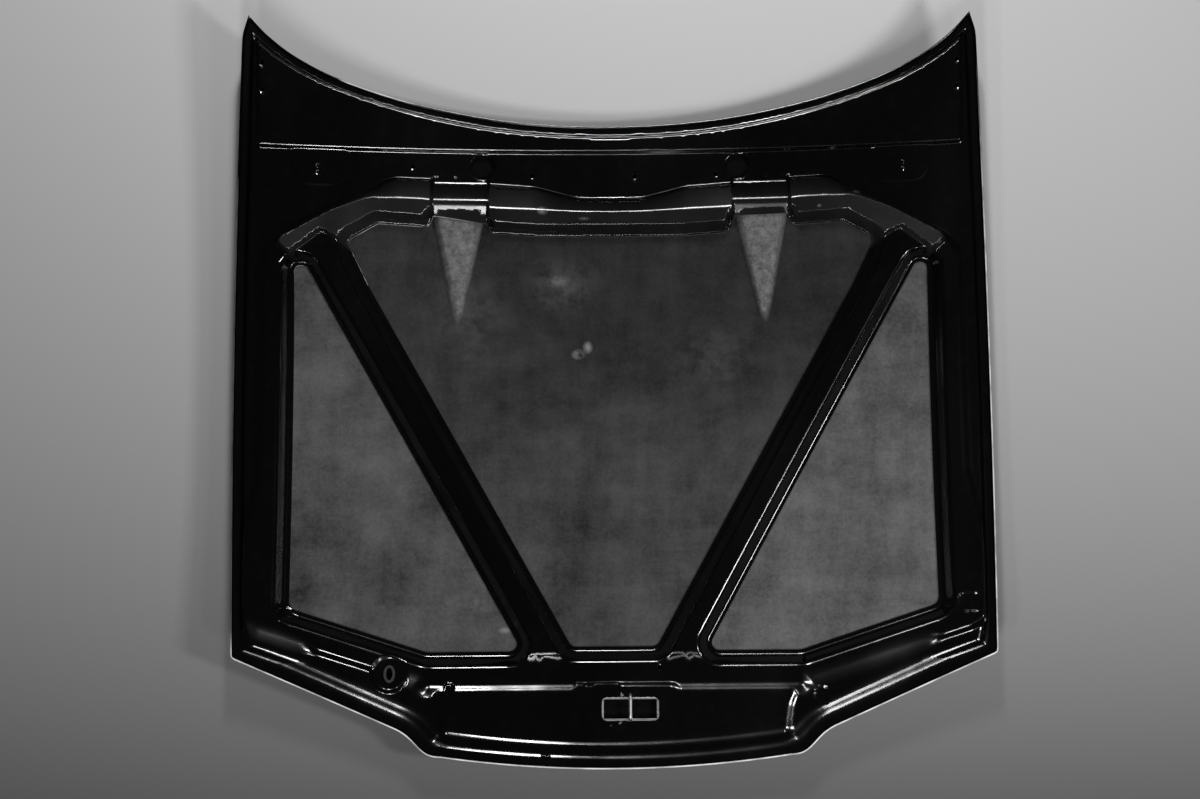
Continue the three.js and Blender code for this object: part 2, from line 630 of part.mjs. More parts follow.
function innerFrame() {
  const plan = new Plan();
  const triangles = [rightTriangle, leftTriangle].map((loop) => evenly(loop, STEP));
  const bridgeLines = [0, BRIDGE.wall].flatMap((wall) => [BRIDGE.inner + wall, BRIDGE.outer - wall])
    .flatMap((x) => [x, -x]);
  const opening = withPointsAt(evenly(centreOpening, STEP), bridgeLines);
  [frameEdge, ...triangles, opening].forEach((loop) => plan.line(loop));
  plan.line(offset(frameEdge, -(OUTER_FLANGE - SKIN)), { clear: MERGE.wall });
  plan.line(offset(frameEdge, -(OUTER_FLANGE - SKIN + OUTER_WALL)), { clear: MERGE.wall });
  const byBeam = (y) => ramp(y, ...BEAM_BLEND_Y);
  [0, 1].forEach((wall) => {
    const byStrut = WINDOW_FLANGE + wall * WINDOW_WALL;
    const beside = BEAM_FLANGE + wall * BEAM_WALL;
    plan.line(offset(opening, beside), { clear: MERGE.wall, keep: ([, y]) => byBeam(y) > 0.5 });
    plan.line(offset(opening, byStrut), { clear: MERGE.wall, keep: ([, y]) => byBeam(y) <= 0.5 });
    triangles.forEach((loop) => plan.line(offset(loop, byStrut), { clear: MERGE.wall }));
  });
  [crossBeam, platform].forEach(({ foot, top }) => {
    const relief = { clear: MERGE.relief, keep: (p) => inFrame(p, EDGE_MARGIN.relief) };
    [top, foot].forEach((loop) => plan.line(evenly(loop, STEP), relief));
  });
  bridgeLines.forEach((x) => {
    const front = opening.find((p) => p[0] === x && p[1] > BEAM_BLEND_Y[1]);
    plan.line([[x, BRIDGE.rearY], [x, BRIDGE.creaseY], front], { closed: false, clear: MERGE.wall });
  });
  const lipX = CORNER_X - SIDE_LIP;
  const lines = [
    ...[-SHELF_STEP / 2, SHELF_STEP / 2].map((dy) => [[-lipX, SHELF_Y + dy], [lipX, SHELF_Y + dy]]),
    ...[-1, 1].flatMap((side) => [0, LIP_WALL].map((dx) => [
      [side * (lipX + dx), SHELF_Y + SHELF_STEP / 2], [side * (lipX + dx), SHOULDER.y],
    ])),
    ...[-FRONT_BEAM.wall, 0].map((dy) => [
      [-TRIANGLE_BEND_X, FRONT_BEAM.y + dy], [TRIANGLE_BEND_X, FRONT_BEAM.y + dy],
    ]),
  ];
  const crease = { closed: false, clear: MERGE.line, keep: (p) => inFrame(p, EDGE_MARGIN.line) };
  lines.forEach((line) => plan.line(evenly(line, STEP, false), crease));
  [RIM_WIDTH, RIM_WIDTH + RIM_SLOPE].forEach((distance) => {
    triangles.forEach((loop) => {
      offset(loop, distance)
        .filter((p) => inFrame(p, EDGE_MARGIN.floor) && away(p, centreOpening) > OPENING_CLEAR)
        .forEach((p) => plan.add(p, MERGE.rim));
    });
  });
  [-1, 1].forEach((side) => {
    plan.line(evenly(box(side * PAD.x, PAD.y, PAD.halfX, PAD.halfY), STEP));
    const skirt = box(side * PAD.x, PAD.y, PAD.halfX + PAD.blend, PAD.halfY + PAD.blend);
    plan.line(evenly(skirt, STEP), { clear: MERGE.wall });
  });
  plan.line(evenly(box(LATCH.x, LATCH.y, LATCH_PAD.halfX, LATCH_PAD.halfY), STEP));
  plan.line(ring(PROP_HOLE.x, PROP_HOLE.y, PROP_HOLE.padRadius, PROP_HOLE.padRadius, 12));
  gridPoints(plan, FLOOR_STEP, FLOOR_STEP * GRID_CLEAR, (p) => inFrame(p, EDGE_MARGIN.floor));
  const holes = [...triangles, opening];
  let body = sheet(plan, frameEdge, holes, frameTop, (p) => frameTop(p) - FRAME);
  frameHoles().forEach((loop) => { body = body.subtract(prism(loop, DRILL.low, DRILL.high)); });
  return body;
}

// The loop with a point added wherever its rear run crosses one of the given X
function withPointsAt(loop, places) {
  return loop.flatMap((a, i) => {
    const b = loop[(i + 1) % loop.length];
    const between = places.filter((x) => a[1] > BEAM_BLEND_Y[1] && (a[0] - x) * (b[0] - x) < 0);
    const added = between.map((x) => [x, mix(a[1], b[1], (x - a[0]) / (b[0] - a[0]))]);
    return [a, ...added.sort((p, q) => span(a, p) - span(a, q))];
  });
}

function inFrame(p, margin) {
  const loops = [panel, rightTriangle, leftTriangle, centreOpening];
  return inside(p, panel) && !loops.slice(1).some((loop) => inside(p, loop))
    && loops.every((loop) => away(p, loop) > margin);
}

function frameHoles() {
  const holes = [];
  [-1, 1].forEach((side) => {
    holes.push(ring(side * DRAIN_HOLES.x, DRAIN_HOLES.y, DRAIN_HOLES.radius, DRAIN_HOLES.radius, 28));
    CORNER_HOLES.forEach(([x, y]) => holes.push(ring(side * x, y, SMALL_RADIUS, SMALL_RADIUS, 10)));
    PAD_HOLES.y.forEach((y) => {
      holes.push(ring(side * PAD_HOLES.x, y, PAD_HOLES.radius, PAD_HOLES.radius, 10));
    });
  });
  SINGLE_HOLES.forEach(([x, y]) => holes.push(ring(x, y, SMALL_RADIUS, SMALL_RADIUS, 10)));
  holes.push(ring(PROP_HOLE.x, PROP_HOLE.y, PROP_HOLE.halfX, PROP_HOLE.halfY, 24));
  holes.push(box(LATCH.x, LATCH.y, LATCH.width / 2, LATCH.depth / 2, LATCH.radius));
  const slot = STRIKER.radius + STRIKER.clearance;
  const [rear, front] = STRIKER.legs;
  holes.push(box(LATCH.x, (rear + front) / 2, slot, (rear - front) / 2 + slot, 0));
  return holes;
}

// The striker: a round rod over the latch opening, with both ends bent down to the plate
function striker() {
  const [rear, front] = STRIKER.legs;
  const over = latchSeat([LATCH.x, LATCH.y]) + STRIKER.rise;
  const foot = (y) => latchSeat([LATCH.x, y]) - FRAME + STRIKER.lift;
  const corner = (y, inward) => new THREE.QuadraticBezierCurve3(
    new THREE.Vector3(LATCH.x, y, over - STRIKER.bend),
    new THREE.Vector3(LATCH.x, y, over),
    new THREE.Vector3(LATCH.x, y + inward * STRIKER.bend, over),
  ).getPoints(4);
  const points = [
    new THREE.Vector3(LATCH.x, rear, foot(rear)), ...corner(rear, -1),
    ...corner(front, 1).reverse(), new THREE.Vector3(LATCH.x, front, foot(front)),
  ];
  const circle = ring(0, 0, STRIKER.radius, STRIKER.radius, 12).map((p) => new THREE.Vector2(...p));
  const path = new THREE.CurvePath();
  points.slice(1).forEach((p, i) => path.add(new THREE.LineCurve3(points[i], p)));
  const along = { steps: 24, extrudePath: path, bevelEnabled: false };
  return fromGeometry(new THREE.ExtrudeGeometry(new THREE.Shape(circle), along));
}

function latchPlate() {
  const { marginX, marginY, overlap, thickness } = LATCH_PLATE;
  const outer = box(LATCH.x, LATCH.y, LATCH.width / 2 + marginX, LATCH.depth / 2 + marginY);
  const hole = box(LATCH.x, LATCH.y, LATCH.width / 2 - overlap, LATCH.depth / 2 - overlap);
  return plateUnder(latchSeat, outer, [hole], thickness);
}

function hingePlate(side) {
  const { inset, thickness, holeRadius } = HINGE_PLATE;
  const outer = box(side * PAD.x, PAD.y, PAD.halfX - inset, PAD.halfY - inset);
  const holes = PAD_HOLES.y.map((y) => ring(side * PAD_HOLES.x, y, holeRadius, holeRadius, 10));
  return plateUnder(seat(side * PAD.x, PAD.y, PAD.height), outer, holes, thickness);
}

// The oval bush for the prop rod: a tube through the frame with a brim on top
function propRodGrommet() {
  const { x, y, halfX, halfY } = PROP_HOLE;
  const { wall, brim, brimThickness, depth } = GROMMET;
  const tilted = (loop, hole, low, high) => {
    const plan = new Plan();
    plan.line(loop);
    plan.line(hole);
    return sheet(plan, loop, [hole], (p) => propSeat(p) + high, (p) => propSeat(p) + low);
  };
  const hole = ring(x, y, halfX - wall, halfY - wall, 24);
  const tube = tilted(ring(x, y, halfX - FIT, halfY - FIT, 24), hole, -depth, FIT + brimThickness);
  return tube.add(tilted(ring(x, y, halfX + brim, halfY + brim, 24), hole, FIT, FIT + brimThickness));
}

const lacquer = new THREE.MeshStandardMaterial({ color: 0x050505, roughness: 0.12, metalness: 0 });
const laminate = new THREE.MeshStandardMaterial({ color: 0x4c4c4c, roughness: 0.7, metalness: 0 });
const steel = new THREE.MeshStandardMaterial({ color: 0x9a9a98, roughness: 0.35, metalness: 1 });
const rubber = new THREE.MeshStandardMaterial({ color: 0x101010, roughness: 0.6, metalness: 0 });

const pieces = {
  outer_skin: [outerSkin(), laminate],
  inner_frame: [innerFrame(), lacquer],
  latch_striker: [striker(), steel],
  latch_plate: [latchPlate(), steel],
  hinge_plate_left: [hingePlate(-1), steel],
  hinge_plate_right: [hingePlate(1), steel],
  prop_rod_grommet: [propRodGrommet(), rubber],
};

const bonnet = new THREE.Group();
Object.entries(pieces).forEach(([name, [body, material]]) => {
  const mesh = new THREE.Mesh(toGeometry(body), material);
  mesh.name = name;
  mesh.position.y = -(NOSE_MIDDLE_Y + TIP.y) / 2;
  bonnet.add(mesh);
});

export default bonnet;
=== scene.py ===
import bpy
import numpy as np
from mathutils import Matrix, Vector
from mathutils.geometry import delaunay_2d_cdt


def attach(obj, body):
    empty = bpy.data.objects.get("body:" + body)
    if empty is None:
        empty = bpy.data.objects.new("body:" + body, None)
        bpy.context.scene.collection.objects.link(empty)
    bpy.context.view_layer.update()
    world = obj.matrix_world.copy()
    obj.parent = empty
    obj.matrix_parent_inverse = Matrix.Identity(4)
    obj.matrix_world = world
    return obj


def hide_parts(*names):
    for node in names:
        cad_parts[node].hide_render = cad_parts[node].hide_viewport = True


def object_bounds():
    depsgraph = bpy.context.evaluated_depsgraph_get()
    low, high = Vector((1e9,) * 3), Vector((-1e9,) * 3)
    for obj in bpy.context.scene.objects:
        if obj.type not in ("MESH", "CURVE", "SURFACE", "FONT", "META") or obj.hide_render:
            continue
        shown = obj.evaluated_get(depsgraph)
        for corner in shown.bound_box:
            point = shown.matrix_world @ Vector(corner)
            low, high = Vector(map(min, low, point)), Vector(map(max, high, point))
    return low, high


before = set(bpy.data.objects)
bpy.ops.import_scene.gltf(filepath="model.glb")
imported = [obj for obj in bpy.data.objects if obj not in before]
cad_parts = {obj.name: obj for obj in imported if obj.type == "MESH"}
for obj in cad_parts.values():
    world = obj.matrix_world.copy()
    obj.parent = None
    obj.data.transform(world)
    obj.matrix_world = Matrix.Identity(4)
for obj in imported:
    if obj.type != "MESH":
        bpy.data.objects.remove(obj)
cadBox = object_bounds()

# The camera stands at the photograph's own viewpoint.


def turned(axis, degrees):
    return np.array(Matrix.Rotation(np.radians(degrees), 3, axis))


view = {"lens": 50.0, "sensor": 36.0, "pitch": -7.9257, "yaw": 0.3946, "roll": 0.4106,
        "offset": (26.82, -480.35, -3139.64)}
middleY = 501.0


def placeCamera():
    # the world goes into the camera by a turn and then a shift, so the camera stands at the shift turned back
    turn = turned("Z", view["roll"]) @ turned("Y", view["yaw"]) @ turned("X", view["pitch"])
    place = -turn.T @ np.array(view["offset"]) - (0, middleY, 0)
    data = bpy.data.cameras.new("viewCamera")
    data.lens = view["lens"]
    data.sensor_width = view["sensor"]
    data.clip_end = 50
    camera = bpy.data.objects.new("viewCamera", data)
    camera.matrix_world = Matrix.Translation(place / 1000) @ Matrix(turn.T.tolist()).to_4x4()
    bpy.context.scene.collection.objects.link(camera)
    bpy.context.scene.camera = camera


placeCamera()
print("camera placed")

# Curves on the plan.

panel = {
    "cornerX": 700, "bow": 12, "widestY": 560, "tip": (686, 1209), "shoulder": (1165, 2, 12),
    "rear": [(-195, 1024), (0, 1014), (195, 1024), (368, 1053), (510, 1094), (595, 1133), (650, 1172),
             (686, 1209)],
    "cornerRadius": 9, "noseOuter": (405, -131), "noseInner": (321, -183), "noseY": -207,
    "crownX": 3600, "crownY": 4600, "crownLow": 480, "skin": 3.0, "frame": 3.0, "glue": 0.8,
    "returnHeight": 13.0, "returnGap": 0.8,
}


def unit(v):
    return v / np.maximum(np.linalg.norm(v, axis=-1, keepdims=True), 1e-12)


def ramp(value, low, high):
    return np.clip((value - low) / (high - low), 0, 1)


def mix(a, b, share):
    return a + (b - a) * share


def fillet(value, low, high, foot=0.3, shoulder=0.3):
    # from 0 to 1: a parabola at the foot, a straight wall, and a parabola at the shoulder
    t = ramp(value, low, high)
    slope = 1 / (1 - foot / 2 - shoulder / 2)
    start = t * t / (2 * foot) * slope
    end = 1 - (1 - t) ** 2 / (2 * shoulder) * slope
    return np.where(t < foot, start, np.where(t > 1 - shoulder, end, (t - foot / 2) * slope))


def smoothMax(a, b, width):
    # the larger of two heights, with the valley between them rounded over the width
    return 0.5 * (a + b + np.sqrt((a - b) ** 2 + width * width)) - width * 0.12


def resample(points, step, closed=True):
    # walks the line through the points at even steps
    line = np.vstack([points, points[:1]]) if closed else np.asarray(points, float)
    along = np.concatenate([[0], np.cumsum(np.linalg.norm(np.diff(line, axis=0), axis=1))])
    count = max(2, int(np.ceil(along[-1] / step)))
    places = np.linspace(0, along[-1], count if closed else count + 1, endpoint=not closed)
    return np.column_stack([np.interp(places, along, line[:, k]) for k in range(line.shape[1])])


def splineThrough(points, pieces=24):
    # Catmull-Rom: each stretch is a cubic with its end slopes along the neighbours' chord
    p = np.array(points, float)
    ends = np.vstack([p[:1], p, p[-1:]])
    a, b, c, d = ends[:-3], ends[1:-2], ends[2:-1], ends[3:]
    t = np.linspace(0, 1, pieces, endpoint=False)[None, :, None]
    a, b, c, d = (v[:, None, :] for v in (a, b, c, d))
    u, v = (c - a) / 2, (d - b) / 2
    curve = (2 * b - 2 * c + u + v) * t ** 3 + (3 * c - 3 * b - 2 * u - v) * t ** 2 + u * t + b
    return np.vstack([curve.reshape(-1, 2), p[-1:]])


def bezier(points, pieces=24):
    # sums of the control points with Bernstein weights, of the second or third degree
    t = np.linspace(0, 1, pieces)[:, None]
    p = [np.array(q, float) for q in points]
    if len(p) == 3:
        return (1 - t) ** 2 * p[0] + 2 * t * (1 - t) * p[1] + t ** 2 * p[2]
    return (1 - t) ** 3 * p[0] + 3 * t * (1 - t) ** 2 * p[1] + 3 * t ** 2 * (1 - t) * p[2] + t ** 3 * p[3]


def roundedLine(corners, closed=True, pieces=9):
    # each corner becomes an arc that touches both of its sides
    c = np.array(corners, float)
    p, radius = c[:, :2], np.maximum(c[:, 2:], 0.01)
    u, v = unit(np.roll(p, 1, 0) - p), unit(np.roll(p, -1, 0) - p)
    half = np.arccos(np.clip((u * v).sum(1, keepdims=True), -1, 1)) / 2
    middle = p + unit(u + v) * radius / np.sin(half)
    start, end = (p + w * radius / np.tan(half) - middle for w in (u, v))
    turn = np.arctan2(start[:, 0] * end[:, 1] - start[:, 1] * end[:, 0], (start * end).sum(1))
    angle = turn[:, None] * np.linspace(0, 1, pieces)
    x = start[:, :1] * np.cos(angle) - start[:, 1:] * np.sin(angle)
    y = start[:, :1] * np.sin(angle) + start[:, 1:] * np.cos(angle)
    arcs = middle[:, None] + np.stack([x, y], -1)
    if not closed:
        return np.vstack([p[:1], arcs[1:-1].reshape(-1, 2), p[-1:]])
    return arcs.reshape(-1, 2)


def mirrored(points):
    return (np.asarray(points, float) * (-1, 1))[::-1]


def crown(x, y):
    return x * x / (2 * panel["crownX"]) + (y - panel["crownLow"]) ** 2 / (2 * panel["crownY"])


def sideX(y):
    return panel["cornerX"] + panel["bow"] * (1 - (y / panel["widestY"] - 1) ** 2)


def halfOutline():
    # the rear edge, the flank and the front edge of the right half, as three lines
    rear = splineThrough(panel["rear"])
    rear = rear[rear[:, 0] >= 0]
    shoulderY, inset, rise = panel["shoulder"]
    y = np.linspace(shoulderY, panel["cornerRadius"] * 2, 60)
    flank = np.column_stack([sideX(y), y])
    flank = np.vstack([[panel["tip"]], [(sideX(shoulderY) - inset, shoulderY + rise)], flank])
    outer, inner = np.array(panel["noseOuter"], float), np.array(panel["noseInner"], float)
    slant = outer[1] / (panel["cornerX"] - outer[0])
    corner = roundedLine([(*flank[-1], 0), (sideX(0), 0, panel["cornerRadius"]), (*outer, 0)], closed=False)
    halfWay = (outer[0] + inner[0]) / 2
    bend = bezier([outer, (halfWay, outer[1] + slant * (outer[0] - halfWay)), (halfWay, inner[1]), inner])
    nose = bezier([inner, (inner[0] / 2, panel["noseY"]), (0, panel["noseY"])])
    split = len(corner) // 2
    flank = np.vstack([flank, corner[1:split + 1]])
    front = np.vstack([corner[split:-1], bend, nose[1:]])
    return rear, flank, front


rearHalf, flankHalf, frontHalf = halfOutline()


def panelOutline(step):
    rear, flank, front = (resample(line, step, closed=False) for line in (rearHalf, flankHalf, frontHalf))
    half = np.vstack([rear[:-1], flank[:-1], front])
    return np.vstack([half, mirrored(half)[1:-1]])


strut = {"foot": (128, 15), "head": (512, 700), "width": 84, "windowSide": 30, "railSide": 12,
         "front": (-22, 6), "end": (600, 775), "endNormal": (0.497, 0.868), "endWidth": 20, "height": 29,
         "wall": 8}
opening = {
    "outerX": 603, "lean": 2, "frontY": 7, "bendX": 348, "cornerY": 90, "apexY": 738,
    "radii": (14, 30, 18, 9),
    "windowFrontY": 15, "windowCorner": (506, 788), "windowRadius": 14,
    "windowRear": [(447, 823, 12), (352, 818, 9)], "windowMiddle": [(231, 807, 9), (145, 802, 12)],
    "windowRearY": 801,
    "notch": {"inner": 237, "outer": 343, "right": (835, 833), "left": (835, 820), "radius": 7},
    "rimCorner": (648, 105), "rimSideY": 330,
}


def strutEdge(y, side):
    # the strut is a straight band: its middle line moved sideways by half the width, measured along X
    (footX, footY), (headX, headY) = strut["foot"], strut["head"]
    lean = (headX - footX) / (headY - footY)
    return footX + (y - footY) * lean + side * strut["width"] / 2 * np.hypot(1, lean)


def triangleLoop(corner, side=None):
    front, bend, cornerRadius, apex = opening["radii"]
    y0, y1 = opening["frontY"], opening["apexY"]
    line = [(strutEdge(y0, 1), y0, front), (opening["bendX"], y0, bend), (*corner, cornerRadius)]
    line += [(opening["outerX"], side, 60)] if side else []
    return roundedLine(line + [(opening["outerX"], y1, apex), (strutEdge(y1, 1), y1, apex)])


def windowLoop():
    # the rear edge has a rounded notch over each wedge
    y0, radius = opening["windowFrontY"], opening["windowRadius"]
    headY, notch = strut["head"][1], opening["notch"]

    def half(levels):
        outer, inner = levels
        line = [(strutEdge(y0, -1), y0, radius), (strutEdge(headY, -1), headY, 40),
                (*opening["windowCorner"], radius)]
        line += opening["windowRear"]
        line += [(notch["outer"], outer, notch["radius"]), (notch["inner"], inner, notch["radius"])]
        return line + opening["windowMiddle"]

    left = [(-x, y, radius) for x, y, radius in half(notch["left"])[::-1]]
    return roundedLine(half(notch["right"]) + [(0, opening["windowRearY"], 0)] + left)


# Distances and tests on whole arrays of plan points.


def distanceTo(points, line, closed=True):
    # least distance to any stretch of the line, worked out for a few thousand points at a time
    a = np.asarray(line, float)
    b = np.roll(a, -1, 0) if closed else a[1:]
    a = a if closed else a[:-1]
    step = b - a
    size = np.maximum((step * step).sum(1), 1e-9)
    best = []
    for part in np.array_split(points, max(1, len(points) // 4000)):
        dx, dy = part[:, :1] - a[:, 0], part[:, 1:] - a[:, 1]
        t = np.clip((dx * step[:, 0] + dy * step[:, 1]) / size, 0, 1)
        best.append(np.sqrt(((dx - t * step[:, 0]) ** 2 + (dy - t * step[:, 1]) ** 2).min(1)))
    return np.concatenate(best)


def inside(points, loop):
    # a point is inside when a ray to its right crosses the loop an odd number of times
    a = np.asarray(loop, float)
    b = np.roll(a, -1, 0)
    rise = np.where(b[:, 1] == a[:, 1], 1e-9, b[:, 1] - a[:, 1])
    result = []
    for part in np.array_split(points, max(1, len(points) // 4000)):
        x, y = part[:, :1], part[:, 1:]
        crosses = (a[:, 1] > y) != (b[:, 1] > y)
        at = a[:, 0] + (y - a[:, 1]) * (b[:, 0] - a[:, 0]) / rise
        result.append((crosses & (x < at)).sum(1) % 2 == 1)
    return np.concatenate(result)


def offsetLoop(loop, distance):
    # moves a loop along its own normals, into the material where positive, less what folds back
    a, b = np.roll(loop, 1, 0), np.roll(loop, -1, 0)
    along = unit(b - a)
    clockwise = 1 if (loop[:, 0] * b[:, 1] - b[:, 0] * loop[:, 1]).sum() > 0 else -1
    moved = loop + np.column_stack([along[:, 1], -along[:, 0]]) * distance * clockwise
    return moved[distanceTo(moved, loop) > abs(distance) * 0.96]


outlineFine = panelOutline(7)
triangle = resample(triangleLoop((opening["outerX"] - opening["lean"], opening["cornerY"])), 7)
rimLoop = resample(triangleLoop(opening["rimCorner"], opening["rimSideY"]), 12)
window = resample(windowLoop(), 6)
frameEdge = offsetLoop(panelOutline(7), -(panel["skin"] + panel["returnGap"]))
print("plan curves:", len(outlineFine), len(triangle), len(window))

# Heights of the inner frame above the skin.

relief = {
    "outerFlange": 10, "sideWall": 14, "frontWall": 40, "hemWall": 12,
    "windowFlange": 5, "windowWall": 25, "beamFlange": 3, "beamWall": 14, "wallFillets": (0.3, 0.35),
    "beamBlend": (740, 800), "lip": 12, "rim": 24, "rimMiddle": 60, "rimSlope": 29,
    "rimSoft": 58, "rimCrisp": 20,
    "frontBeam": 25, "frontBeamY": -48, "frontBeamWall": 36, "frontCrisp": 10,
    "frontFadeX": (338, 388), "frontFadeY": (20, 55), "platform": 20,
    "rear": 22, "shelfY": 961, "shelfStep": 10, "sideLip": 36, "lipWall": 10, "beam": 40,
    "rimFadeY": (130, 200), "frontWallY": (-60, 10), "hemWallY": (985, 1040), "ridgeClear": 1.2,
    "valley": 2.0, "beamValley": 2.5, "beamStep": 0.26, "beamStepEnd": 0.16, "beamSlopeStart": 0.05,
    "beamEndX": (425, 480), "beamEndY": (790, 820),
}
# stretches along X where a soft wall turns crisp and catches the light: middle, half length, fade
crisp = {
    "rim": [(-478, 62, 40), (655, 48, 40)],
    "front": [(-305, 5, 6), (-64, 6, 8), (-14, 18, 14)],
}
# raised areas: corners of the right half's foot and top lines, each with its rounding
beamFoot = [(0, 760, 0), (447, 780, 30), (500, 762, 14), (546, 797, 14), (580, 768, 12),
            (610, 747, 11), (641, 774, 12), (633, 793, 16), (421, 913, 60), (326, 911, 200), (236, 904, 200),
            (146, 898, 110), (66, 877, 110), (0, 875, 0)]
beamTop = [(0, 775, 0), (447, 795, 30), (505, 784, 10), (553, 808, 10), (588, 780, 10), (609, 762, 8),
           (626, 776, 7), (620, 786, 10), (530, 838, 60), (462, 864, 60), (363, 862, 200),
           (222, 845, 200), (57, 841, 200), (0, 840, 0)]
platformFoot = [(0, -44, 0), (376, -44, 16), (340, -84, 30), (332, -125, 40), (337, -178, 40),
                (337, -230, 0), (0, -230, 0)]
platformTop = [(0, -58, 0), (330, -58, 12), (314, -90, 30), (308, -125, 40), (304, -180, 30),
               (304, -230, 0), (0, -230, 0)]
bridge = {"inner": 232, "outer": 346, "wall": 7, "front": 832, "crease": 861, "rear": 906, "height": 34,
          "middle": 289, "creaseHalf": 56}
wedgeShape = {"height": 25, "tipShare": 0.35, "tipY": 621, "rearY": 850,
              "foot": [(235, 864), (286, 633), (293, 621), (308, 629), (349, 864)],
              "top": [(252, 850), (290, 655), (292, 655), (332, 850)]}
pad = {"x": 556, "y": 923, "halfX": 46, "halfY": 26, "radius": 24, "height": 16, "blend": 9}
latch = {"x": 28, "y": -98.5, "width": 104, "depth": 41, "radius": 9, "halfX": 84, "halfY": 38,
         "padRadius": 12, "blend": 14}
propHole = {"x": -414, "y": -31, "halfX": 8.2, "halfY": 13.7, "padRadius": 26, "height": 20, "blend": 12}
drain = {"x": 246, "y": 933, "radius": 24}
smallHoles = [(s * x, y, 3.5) for s in (-1, 1) for x, y in ((660, 1117), (660, 1067))]
smallHoles += [(s * 559, y, 3.0) for s in (-1, 1) for y in (930, 917)]
smallHoles += [(x, y, 3.5) for x, y in (
    (-380, 932), (-151, 917), (47, 916), (205, 918), (350, -12), (83, -23), (-126, -180))]
dimple = {"depth": 0.6, "reach": 3.2, "roll": 0.9, "rollReach": 3.0}
# shallow pressed pockets in the front corners and small marks: x, y, half width, half depth, rounding, sink
pockets = [(-603, 80, 15, 11, 4, 1.5), (652, 92, 20, 17, 12, 1.6), (381, -74, 13, 15, 11, 1.1),
           (-545, 925, 3, 9, 3, 0.6)]
# weld lumps by the latch: x, y, radius, height
lumps = [(12, -72, 4.5, 1.6), (9, -122, 4.0, 1.4), (-8, -124, 7, 1.0)]


def wholeLoop(half, step=4):
    # a half line and its mirror image, with every corner rounded
    left = [(-x, y, radius) for x, y, radius in half[::-1] if x]
    return resample(roundedLine(half + left, pieces=8), step)


loops = {
    "beamFoot": wholeLoop(beamFoot), "beamTop": wholeLoop(beamTop),
    "platformFoot": wholeLoop(platformFoot), "platformTop": wholeLoop(platformTop),
}


def crispness(x, name):
    # 1 inside the named stretches, falling smoothly to 0 over each one's fade
    return sum(1 - fillet(np.abs(x - at), half, half + fade, 0.5, 0.5) for at, half, fade in crisp[name])


def outsideBox(x, y, halfX, halfY, radius):
    # distance to a box with rounded corners, below 0 inside it
    pastX, pastY = np.maximum(np.abs(x) - halfX + radius, 0), np.maximum(np.abs(y) - halfY + radius, 0)
    return np.hypot(pastX, pastY) - radius


def mesa(points, foot, top):
    # 0 outside the foot line, 1 inside the top line, and the share of the way between them
    result = np.zeros(len(points))
    near = ((points > foot.min(0)) & (points < foot.max(0))).all(1)
    close = points[near]
    if len(close):
        toFoot, toTop = distanceTo(close, foot), distanceTo(close, top)
        share = toFoot / np.maximum(toFoot + toTop, 1e-6)
        result[near] = np.where(inside(close, top), 1, np.where(inside(close, foot), share, 0))
    return result


def wedge(points):
    # a ridge that falls towards its tip, with walls between its foot line and its top line
    x, y = np.abs(points[:, 0]), points[:, 1]
    share = np.zeros(len(points))
    near = (x > 225) & (x < 360) & (y > 610) & (y < 875)
    foot, top = np.array(wedgeShape["foot"]), np.array(wedgeShape["top"])
    share[near] = mesa(np.column_stack([x, y])[near], foot, top)
    along = ramp(y, wedgeShape["tipY"], wedgeShape["rearY"])
    return wedgeShape["height"] * mix(wedgeShape["tipShare"], 1, along) * fillet(share, 0, 1, 0.2, 0.2)


def seatPlane(points, x0, y0, height):
    # the plane that touches the crown over one point, raised by a height
    x, y = points[:, 0], points[:, 1]
    z = crown(x0, y0) + panel["skin"] + height
    return z + (x - x0) * x0 / panel["crownX"] + (y - y0) * (y0 - panel["crownLow"]) / panel["crownY"]


def deck(points):
    # the largest of the raised areas' heights, each with its own rounded walls
    x, y = np.abs(points[:, 0]), points[:, 1]
    low = relief["lip"]
    slope = mix(relief["rimSoft"], relief["rimCrisp"], crispness(points[:, 0], "rim"))
    slope = mix(slope, relief["rimSlope"], ramp(y, *relief["rimFadeY"]))
    rim = distanceTo(np.column_stack([x, y]), rimLoop) - relief["rimMiddle"]
    height = mix(relief["rim"], low, fillet(rim, -slope / 2, slope / 2, 0.35, 0.35))
    fades = (1 - fillet(x, *relief["frontFadeX"])) * (1 - fillet(y, *relief["frontFadeY"]))
    wall = mix(relief["frontBeamWall"], relief["frontCrisp"], crispness(points[:, 0], "front"))
    front = fillet(y, relief["frontBeamY"] - wall, relief["frontBeamY"])
    levels = [mix(low, relief["frontBeam"], front * fades)]
    railSide = fillet(x - strutEdge(y, 1), strut["railSide"] - strut["wall"], strut["railSide"])
    beside = fillet(x - strutEdge(y, -1) + strut["windowSide"], 0, strut["wall"]) * (1 - railSide)
    past = sum((v - end) * part for v, end, part in zip((x, y), strut["end"], strut["endNormal"]))
    band = fillet(y, *strut["front"]) * (1 - fillet(past, 0, strut["endWidth"])) * beside
    levels.append(mix(low, strut["height"], band))
    raised = fillet(mesa(points, loops["platformFoot"], loops["platformTop"]), 0, 1, 0.4, 0.4)
    levels.append(mix(low, relief["platform"], raised))
    behind = fillet(y - relief["shelfY"], -relief["shelfStep"] / 2, relief["shelfStep"] / 2)
    insideLip = fillet(panel["cornerX"] - x, relief["sideLip"] - relief["lipWall"], relief["sideLip"])
    levels.append(mix(low, relief["rear"], behind * insideLip))
    for level in levels:
        height = smoothMax(height, level, relief["valley"])
    return smoothMax(height, mix(low, relief["beam"], beamShare(points)), relief["beamValley"])


